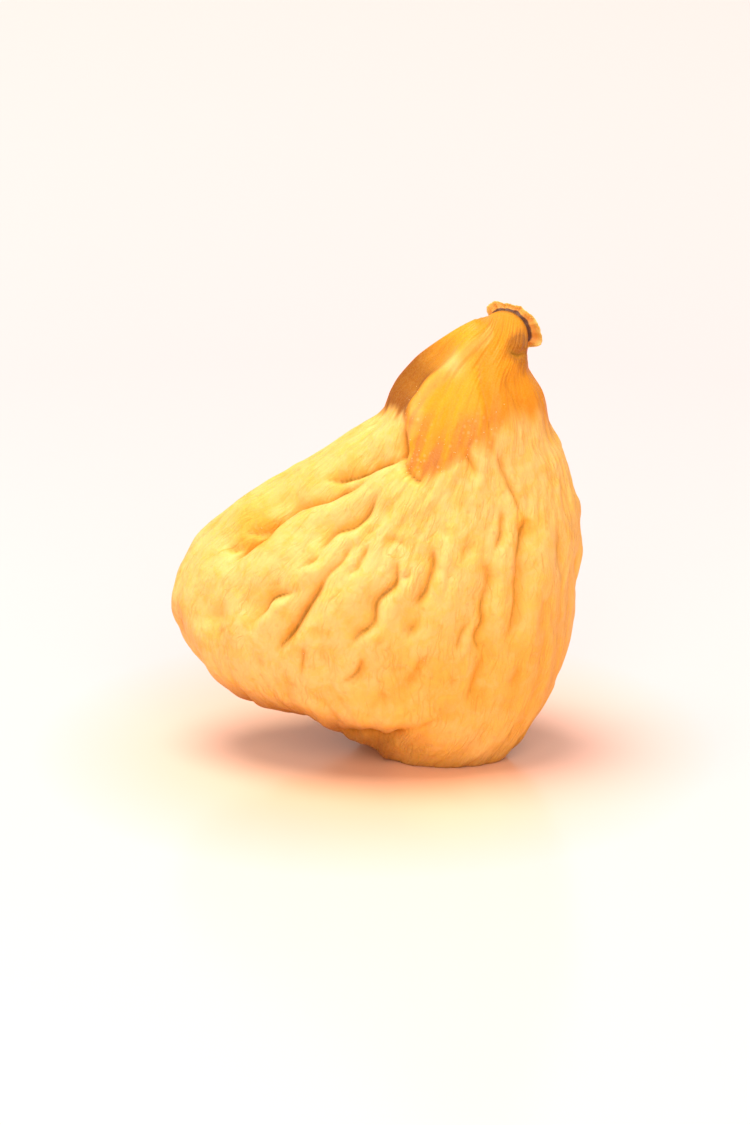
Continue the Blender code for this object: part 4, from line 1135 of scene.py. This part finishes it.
def paper_finish(streaks, leather):
    """The thin dry rim of the stalk: pale paper, paler still along its torn lip, with a painted shadow
    where it rises from the stalk.
    """
    material, tree, shader = new_material("stalk_paper")
    place = put(tree, "ShaderNodeTexCoord").outputs["Object"]
    hide = use_group(tree, leather, Place=place, Cells=3800.0, Grit=9000.0)
    vein = use_group(tree, streaks, Grain=place, Scale=2400.0, Stretch=0.5)["Mask"]
    colour = blend(tree, times(tree, vein, 0.25), PAPER, ORANGE)
    colour = blend(tree, spread(tree, mask(tree, "edge"), 0.7, 1.0), colour, PAPER_EDGE)
    # a painted shadow where the rim rises from the stalk
    colour = blend(tree, spread(tree, mask(tree, "edge"), 0.52, 0.44), colour, DARK_PITH_AND_SHADOW)
    tree.links.new(colour, shader.inputs["Base Color"])
    tree.links.new(plus(tree, 0.55, times(tree, vein, 0.2)), shader.inputs["Roughness"])
    shader.inputs["Subsurface Weight"].default_value = 0.5
    shader.inputs["Subsurface Radius"].default_value = (1.0, 0.6, 0.3)
    shader.inputs["Subsurface Scale"].default_value = 0.0006
    bump(tree, shader, hide["Height"], 0.6, 0.00008)
    return material


def scale_finish(streaks, leather):
    """The scales of the eye: dry and pale, with gold veins and brown patches."""
    material, tree, shader = new_material("eye_scale")
    place = put(tree, "ShaderNodeTexCoord").outputs["Object"]
    hide = use_group(tree, leather, Place=place, Cells=3000.0, Grit=9000.0)
    vein = use_group(tree, streaks, Grain=place, Scale=2200.0, Stretch=0.4)["Mask"]
    colour = blend(tree, times(tree, vein, 0.6), SCALE_CREAM, GOLD)
    colour = blend(tree, spread(tree, noise_of(tree, place, 900.0), 0.45, 0.7), colour, SCALE_BROWN)
    tree.links.new(colour, shader.inputs["Base Color"])
    tree.links.new(plus(tree, 0.5, times(tree, vein, 0.25)), shader.inputs["Roughness"])
    bump(tree, shader, hide["Height"], 0.6, 0.0001)
    return material


def sugar_finish():
    material, tree, shader = new_material("sugar_grain")
    place = put(tree, "ShaderNodeTexCoord").outputs["Object"]
    colour = blend(tree, noise_of(tree, place, 700.0), SUGAR, CREAM)
    tree.links.new(colour, shader.inputs["Base Color"])
    shader.inputs["Roughness"].default_value = 0.35
    return material


def floor_finish():
    material, tree, shader = new_material("pale_floor")
    place = put(tree, "ShaderNodeTexCoord").outputs["Object"]
    reach = put(tree, "ShaderNodeVectorMath", operation="LENGTH")
    tree.links.new(place, reach.inputs[0])
    # painted warm bounce and shade close round the fig
    colour = blend(tree, spread(tree, reach.outputs["Value"], 0.013, 0.037), FLOOR_PAINTED_BOUNCE, FLOOR)
    # a painted fall-off of light, peach further back
    colour = blend(tree, spread(tree, reach.outputs["Value"], 0.14, 0.42), colour, FLOOR_PAINTED_FALLOFF)
    tree.links.new(colour, shader.inputs["Base Color"])
    shader.inputs["Roughness"].default_value = 0.2
    shader.inputs["Specular IOR Level"].default_value = 0.8
    return material


# The papery rim of the stalk


def make_rim(material):
    """A thin flared collar round the cut: a closed wall with a torn lip, reaching furthest to the right."""
    steps, turns = 13, 300
    centre, outwards = np.array(CUT_CENTRE), unit(CUT_OUTWARDS)
    right = np.array(CUT_RIGHT)
    right = unit(right - outwards * (right @ outwards))
    back = np.cross(outwards, right)
    rows = []
    edges = []
    for k in range(turns):
        angle = 2 * math.pi * k / turns
        way = right * math.cos(angle) + back * math.sin(angle)
        spot = Vector((1.6 * math.cos(angle), 1.6 * math.sin(angle), 4.0))
        torn = sum(height * noise.noise(spot * often) for height, often in RIM_TEARS)
        reach = np.interp(math.degrees(angle), *np.array(RIM_REACH).T) + torn
        height = RIM_HEIGHT * (1 + 0.5 * noise.noise(spot * 2.3))
        profile = []
        for step in range(steps):
            f = step / (steps - 1)
            crumple = 0.05 * f * noise.noise(spot * 3.0 + Vector((0, 0, 3 * f)))
            radius = GROOVE_RADIUS - 0.2 + (reach - GROOVE_RADIUS + 0.2) * f**1.3
            profile.append((radius, 0.05 + (height + crumple) * math.sin(0.62 * math.pi * f), f))
        inner = []
        for radius, rise, f in reversed(profile):
            inner.append((radius - 0.3 * RIM_WALL, rise + RIM_WALL * (1 - 0.7 * f), f))
        ring = [centre + way * radius + outwards * rise for radius, rise, _ in profile + inner]
        rows.append(ring)
        edges.append([f for _, _, f in profile + inner])
    rows = (np.array(rows) - MIDDLE) * MM
    count = rows.shape[1]
    shell = bmesh.new()
    verts = [[shell.verts.new(point) for point in ring] for ring in rows]
    for k in range(turns):
        after = (k + 1) % turns
        for s in range(count):
            t = (s + 1) % count
            shell.faces.new((verts[k][s], verts[after][s], verts[after][t], verts[k][t]))
    bmesh.ops.recalc_face_normals(shell, faces=shell.faces)
    mesh = bpy.data.meshes.new("stalk_rim")
    shell.to_mesh(mesh)
    shell.free()
    mesh.shade_smooth()
    attribute = mesh.attributes.new("edge", "FLOAT", "POINT")
    attribute.data.foreach_set("value", np.array(edges, dtype=np.float32).ravel())
    mesh.materials.append(material)
    rim = new_object("stalk_rim", mesh)
    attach(rim, "root")


# Geometry Nodes: the eye's scales and the sugar grains


def new_geometry_tree(name, inputs):
    tree = bpy.data.node_groups.new(name, "GeometryNodeTree")
    for label, kind in inputs:
        tree.interface.new_socket(label, in_out="INPUT", socket_type=kind)
    tree.interface.new_socket("Geometry", in_out="OUTPUT", socket_type="NodeSocketGeometry")
    return tree, put(tree, "NodeGroupInput").outputs, put(tree, "NodeGroupOutput").inputs


def made_by(tree, name, values):
    """Runs a geometry tree with its named inputs set, and gives the result as a plain mesh object."""
    maker = new_object(name + "_maker", bpy.data.meshes.new(name + "_base"))
    modifier = maker.modifiers.new("maker", "NODES")
    modifier.node_group = tree
    for item in tree.interface.items_tree:
        if item.in_out == "INPUT" and item.name in values:
            modifier[item.identifier] = values[item.name]
    graph = bpy.context.evaluated_depsgraph_get()
    made = bpy.data.meshes.new_from_object(maker.evaluated_get(graph), depsgraph=graph)
    made.name = name
    bpy.data.objects.remove(maker)
    return new_object(name, made)


def scale_ring_tree():
    """One whorl of pointed, curled scales, each a flattened ball drawn out to a tip."""
    tree, given, result = new_geometry_tree(
        "scale_whorl",
        [
            ("Count", "NodeSocketInt"),
            ("Ring Radius", "NodeSocketFloat"),
            ("Length", "NodeSocketFloat"),
            ("Width", "NodeSocketFloat"),
            ("Thickness", "NodeSocketFloat"),
            ("Curl", "NodeSocketFloat"),
            ("Tilt", "NodeSocketFloat"),
            ("Seed", "NodeSocketInt"),
            ("Material", "NodeSocketMaterial"),
        ],
    )
    ball = put(tree, "GeometryNodeMeshUVSphere")
    ball.inputs["Segments"].default_value = 24
    ball.inputs["Rings"].default_value = 14
    ball.inputs["Radius"].default_value = 1.0
    place = put(tree, "GeometryNodeInputPosition").outputs[0]
    split = put(tree, "ShaderNodeSeparateXYZ")
    tree.links.new(place, split.inputs[0])
    tip = times(tree, plus(tree, split.outputs["Z"], 1.0), 0.5)
    narrow = calc(tree, "SUBTRACT", 1.0, times(tree, tip, 0.62))
    joined = put(tree, "ShaderNodeCombineXYZ")
    across = times(tree, times(tree, split.outputs["X"], narrow), given["Width"])
    tree.links.new(across, joined.inputs[1])
    tree.links.new(times(tree, times(tree, tip, given["Length"]), -1.0), joined.inputs[0])
    bend = times(tree, times(tree, tip, tip), given["Curl"])
    cup = times(tree, times(tree, split.outputs["X"], split.outputs["X"]), SCALE_CUP * MM)
    thick = times(tree, split.outputs["Y"], given["Thickness"])
    tree.links.new(plus(tree, plus(tree, thick, bend), cup), joined.inputs[2])
    shaped = put(tree, "GeometryNodeSetPosition")
    tree.links.new(ball.outputs["Mesh"], shaped.inputs["Geometry"])
    tree.links.new(joined.outputs[0], shaped.inputs["Position"])
    circle = put(tree, "GeometryNodeMeshCircle")
    tree.links.new(given["Count"], circle.inputs["Vertices"])
    tree.links.new(given["Ring Radius"], circle.inputs["Radius"])
    index = put(tree, "GeometryNodeInputIndex").outputs[0]
    spin = calc(tree, "DIVIDE", times(tree, index, 2 * math.pi), given["Count"])
    turn = put(tree, "FunctionNodeRandomValue", data_type="FLOAT_VECTOR")
    turn.inputs["Min"].default_value = (-0.28, -0.3, -0.22)
    turn.inputs["Max"].default_value = (0.28, 0.3, 0.22)
    tree.links.new(given["Seed"], turn.inputs["Seed"])
    lean = put(tree, "ShaderNodeCombineXYZ")
    tree.links.new(given["Tilt"], lean.inputs[1])
    tree.links.new(spin, lean.inputs[2])
    rotation = put(tree, "ShaderNodeVectorMath", operation="ADD")
    tree.links.new(lean.outputs[0], rotation.inputs[0])
    tree.links.new(turn.outputs[0], rotation.inputs[1])
    size = put(tree, "FunctionNodeRandomValue", data_type="FLOAT")
    size.inputs[2].default_value = 0.7
    size.inputs[3].default_value = 1.25
    tree.links.new(plus(tree, given["Seed"], 7), size.inputs["Seed"])
    scatter = put(tree, "GeometryNodeInstanceOnPoints")
    tree.links.new(circle.outputs[0], scatter.inputs["Points"])
    tree.links.new(shaped.outputs[0], scatter.inputs["Instance"])
    tree.links.new(rotation.outputs[0], scatter.inputs["Rotation"])
    tree.links.new(size.outputs[1], scatter.inputs["Scale"])
    real = put(tree, "GeometryNodeRealizeInstances")
    tree.links.new(scatter.outputs[0], real.inputs[0])
    ragged = put(tree, "ShaderNodeTexNoise")
    ragged.inputs["Scale"].default_value = 1100.0
    centred = put(tree, "ShaderNodeVectorMath", operation="SUBTRACT")
    tree.links.new(ragged.outputs["Color"], centred.inputs[0])
    centred.inputs[1].default_value = (0.5, 0.5, 0.5)
    shift = put(tree, "ShaderNodeVectorMath", operation="SCALE")
    tree.links.new(centred.outputs[0], shift.inputs[0])
    shift.inputs["Scale"].default_value = SCALE_RUCK * MM
    crumpled = put(tree, "GeometryNodeSetPosition")
    tree.links.new(real.outputs[0], crumpled.inputs["Geometry"])
    tree.links.new(shift.outputs[0], crumpled.inputs["Offset"])
    smooth = put(tree, "GeometryNodeSetShadeSmooth")
    tree.links.new(crumpled.outputs[0], smooth.inputs[0])
    finish = put(tree, "GeometryNodeSetMaterial")
    tree.links.new(smooth.outputs[0], finish.inputs["Geometry"])
    tree.links.new(given["Material"], finish.inputs["Material"])
    tree.links.new(finish.outputs[0], result[0])
    return tree


def grain_tree():
    """Tiny faceted grains, strewn where a mask on the skin is strong."""
    tree, given, result = new_geometry_tree(
        "strewn_grains",
        [
            ("Skin", "NodeSocketObject"),
            ("Density", "NodeSocketFloat"),
            ("Size", "NodeSocketFloat"),
            ("Seed", "NodeSocketInt"),
            ("Material", "NodeSocketMaterial"),
        ],
    )
    skin = put(tree, "GeometryNodeObjectInfo", transform_space="RELATIVE")
    tree.links.new(given["Skin"], skin.inputs["Object"])
    where = put(tree, "GeometryNodeInputNamedAttribute", data_type="FLOAT")
    where.inputs["Name"].default_value = "sugar"
    strewn = put(tree, "GeometryNodeDistributePointsOnFaces")
    tree.links.new(skin.outputs["Geometry"], strewn.inputs["Mesh"])
    tree.links.new(times(tree, where.outputs["Attribute"], given["Density"]), strewn.inputs["Density"])
    tree.links.new(given["Seed"], strewn.inputs["Seed"])
    grain = put(tree, "GeometryNodeMeshIcoSphere")
    tree.links.new(given["Size"], grain.inputs["Radius"])
    grain.inputs["Subdivisions"].default_value = 1
    spin = put(tree, "FunctionNodeRandomValue", data_type="FLOAT_VECTOR")
    spin.inputs["Max"].default_value = (6.3, 6.3, 6.3)
    size = put(tree, "FunctionNodeRandomValue", data_type="FLOAT")
    size.inputs[2].default_value = 0.4
    size.inputs[3].default_value = 1.0
    scatter = put(tree, "GeometryNodeInstanceOnPoints")
    tree.links.new(strewn.outputs["Points"], scatter.inputs["Points"])
    tree.links.new(grain.outputs["Mesh"], scatter.inputs["Instance"])
    tree.links.new(spin.outputs[0], scatter.inputs["Rotation"])
    tree.links.new(size.outputs[1], scatter.inputs["Scale"])
    real = put(tree, "GeometryNodeRealizeInstances")
    tree.links.new(scatter.outputs[0], real.inputs[0])
    finish = put(tree, "GeometryNodeSetMaterial")
    tree.links.new(real.outputs[0], finish.inputs["Geometry"])
    tree.links.new(given["Material"], finish.inputs["Material"])
    tree.links.new(finish.outputs[0], result[0])
    return tree


def make_sugar(skin, material):
    values = {
        "Skin": skin,
        "Density": SUGAR_DENSITY,
        "Size": SUGAR_SIZE * MM,
        "Seed": 4,
        "Material": material,
    }
    sugar = made_by(grain_tree(), "sugar_grains", values)
    sugar.data.materials.clear()
    sugar.data.materials.append(material)
    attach(sugar, "root")


def make_eye_scales(material):
    tree = scale_ring_tree()
    outwards = Vector(unit(EYE_OUTWARDS))
    lift = outwards.to_track_quat("Z", "Y").to_matrix().to_4x4()
    lift.translation = (Vector(EYE_CENTRE) - Vector(MIDDLE) + outwards * 0.05) * MM
    whorls = []
    for number, (count, radius, length, width, curl, tilt) in enumerate(EYE_WHORLS):
        values = {
            "Count": count,
            "Ring Radius": radius * MM,
            "Length": length * MM,
            "Width": width * MM,
            "Thickness": SCALE_THICKNESS * MM,
            "Curl": curl * MM,
            "Tilt": tilt,
            "Seed": 3 + number,
            "Material": material,
        }
        whorls.append(made_by(tree, f"eye_whorl_{number}", values))
    gathered = bmesh.new()
    for whorl in whorls:
        gathered.from_mesh(whorl.data)
    gathered.transform(lift)
    mesh = bpy.data.meshes.new("eye_scales")
    gathered.to_mesh(mesh)
    gathered.free()
    mesh.shade_smooth()
    mesh.materials.append(material)
    for whorl in whorls:
        bpy.data.objects.remove(whorl)
    scales = new_object("eye_scales", mesh)
    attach(scales, "root")


# Camera, floor and light


def place_mm(point):
    """A point of the drawing frame, in the frame's metres."""
    return Vector((np.array(point) - MIDDLE) * MM)


def make_camera():
    camera = bpy.data.objects.new("camera", bpy.data.cameras.new("camera"))
    camera.data.lens = LENS
    camera.data.sensor_width = 36.0
    camera.location = place_mm(VIEWPOINT)
    camera.rotation_euler = (place_mm(CAMERA_AIM) - camera.location).to_track_quat("-Z", "Y").to_euler()
    camera.data.clip_start = 0.01
    bpy.context.scene.collection.objects.link(camera)
    bpy.context.scene.camera = camera


def make_floor(material):
    mesh = bpy.data.meshes.new("floor")
    plane = bmesh.new()
    bmesh.ops.create_grid(plane, x_segments=2, y_segments=2, size=FLOOR_REACH)
    plane.to_mesh(mesh)
    plane.free()
    mesh.materials.append(material)
    floor = new_object("floor", mesh)


def make_light(name, place, size, power, colour):
    light = bpy.data.lights.new(name, "AREA")
    light.shape = "DISK"
    light.size = size
    light.energy = power
    light.color = colour
    lamp = bpy.data.objects.new(name, light)
    lamp.location = place
    lamp.rotation_euler = (Vector((0, 0, 0.02)) - Vector(place)).to_track_quat("-Z", "Y").to_euler()
    bpy.context.scene.collection.objects.link(lamp)


def make_lights():
    make_light("key_light", KEY_LIGHT_AT, KEY_LIGHT_SIZE, KEY_LIGHT_POWER, KEY_LIGHT_COLOUR)
    make_light("fill_light", FILL_LIGHT_AT, FILL_LIGHT_SIZE, FILL_LIGHT_POWER, FILL_LIGHT_COLOUR)
    world = bpy.data.worlds.new("studio")
    world.use_nodes = True
    world.node_tree.nodes["Background"].inputs[0].default_value = SKY_COLOUR
    world.node_tree.nodes["Background"].inputs[1].default_value = SKY_STRENGTH
    bpy.context.scene.world = world
    bpy.context.scene.view_settings.view_transform = "Standard"


def main():
    streaks = streak_group()
    leather = leather_group()
    skin_material = skin_finish(streaks, hairline_group(), wrinkle_group(), leather, freckle_group())
    skin = make_skin(skin_material, cut_finish(streaks, leather))
    make_sugar(skin, sugar_finish())
    make_rim(paper_finish(streaks, leather))
    make_eye_scales(scale_finish(streaks, leather))
    make_floor(floor_finish())
    make_lights()
    make_camera()


main()
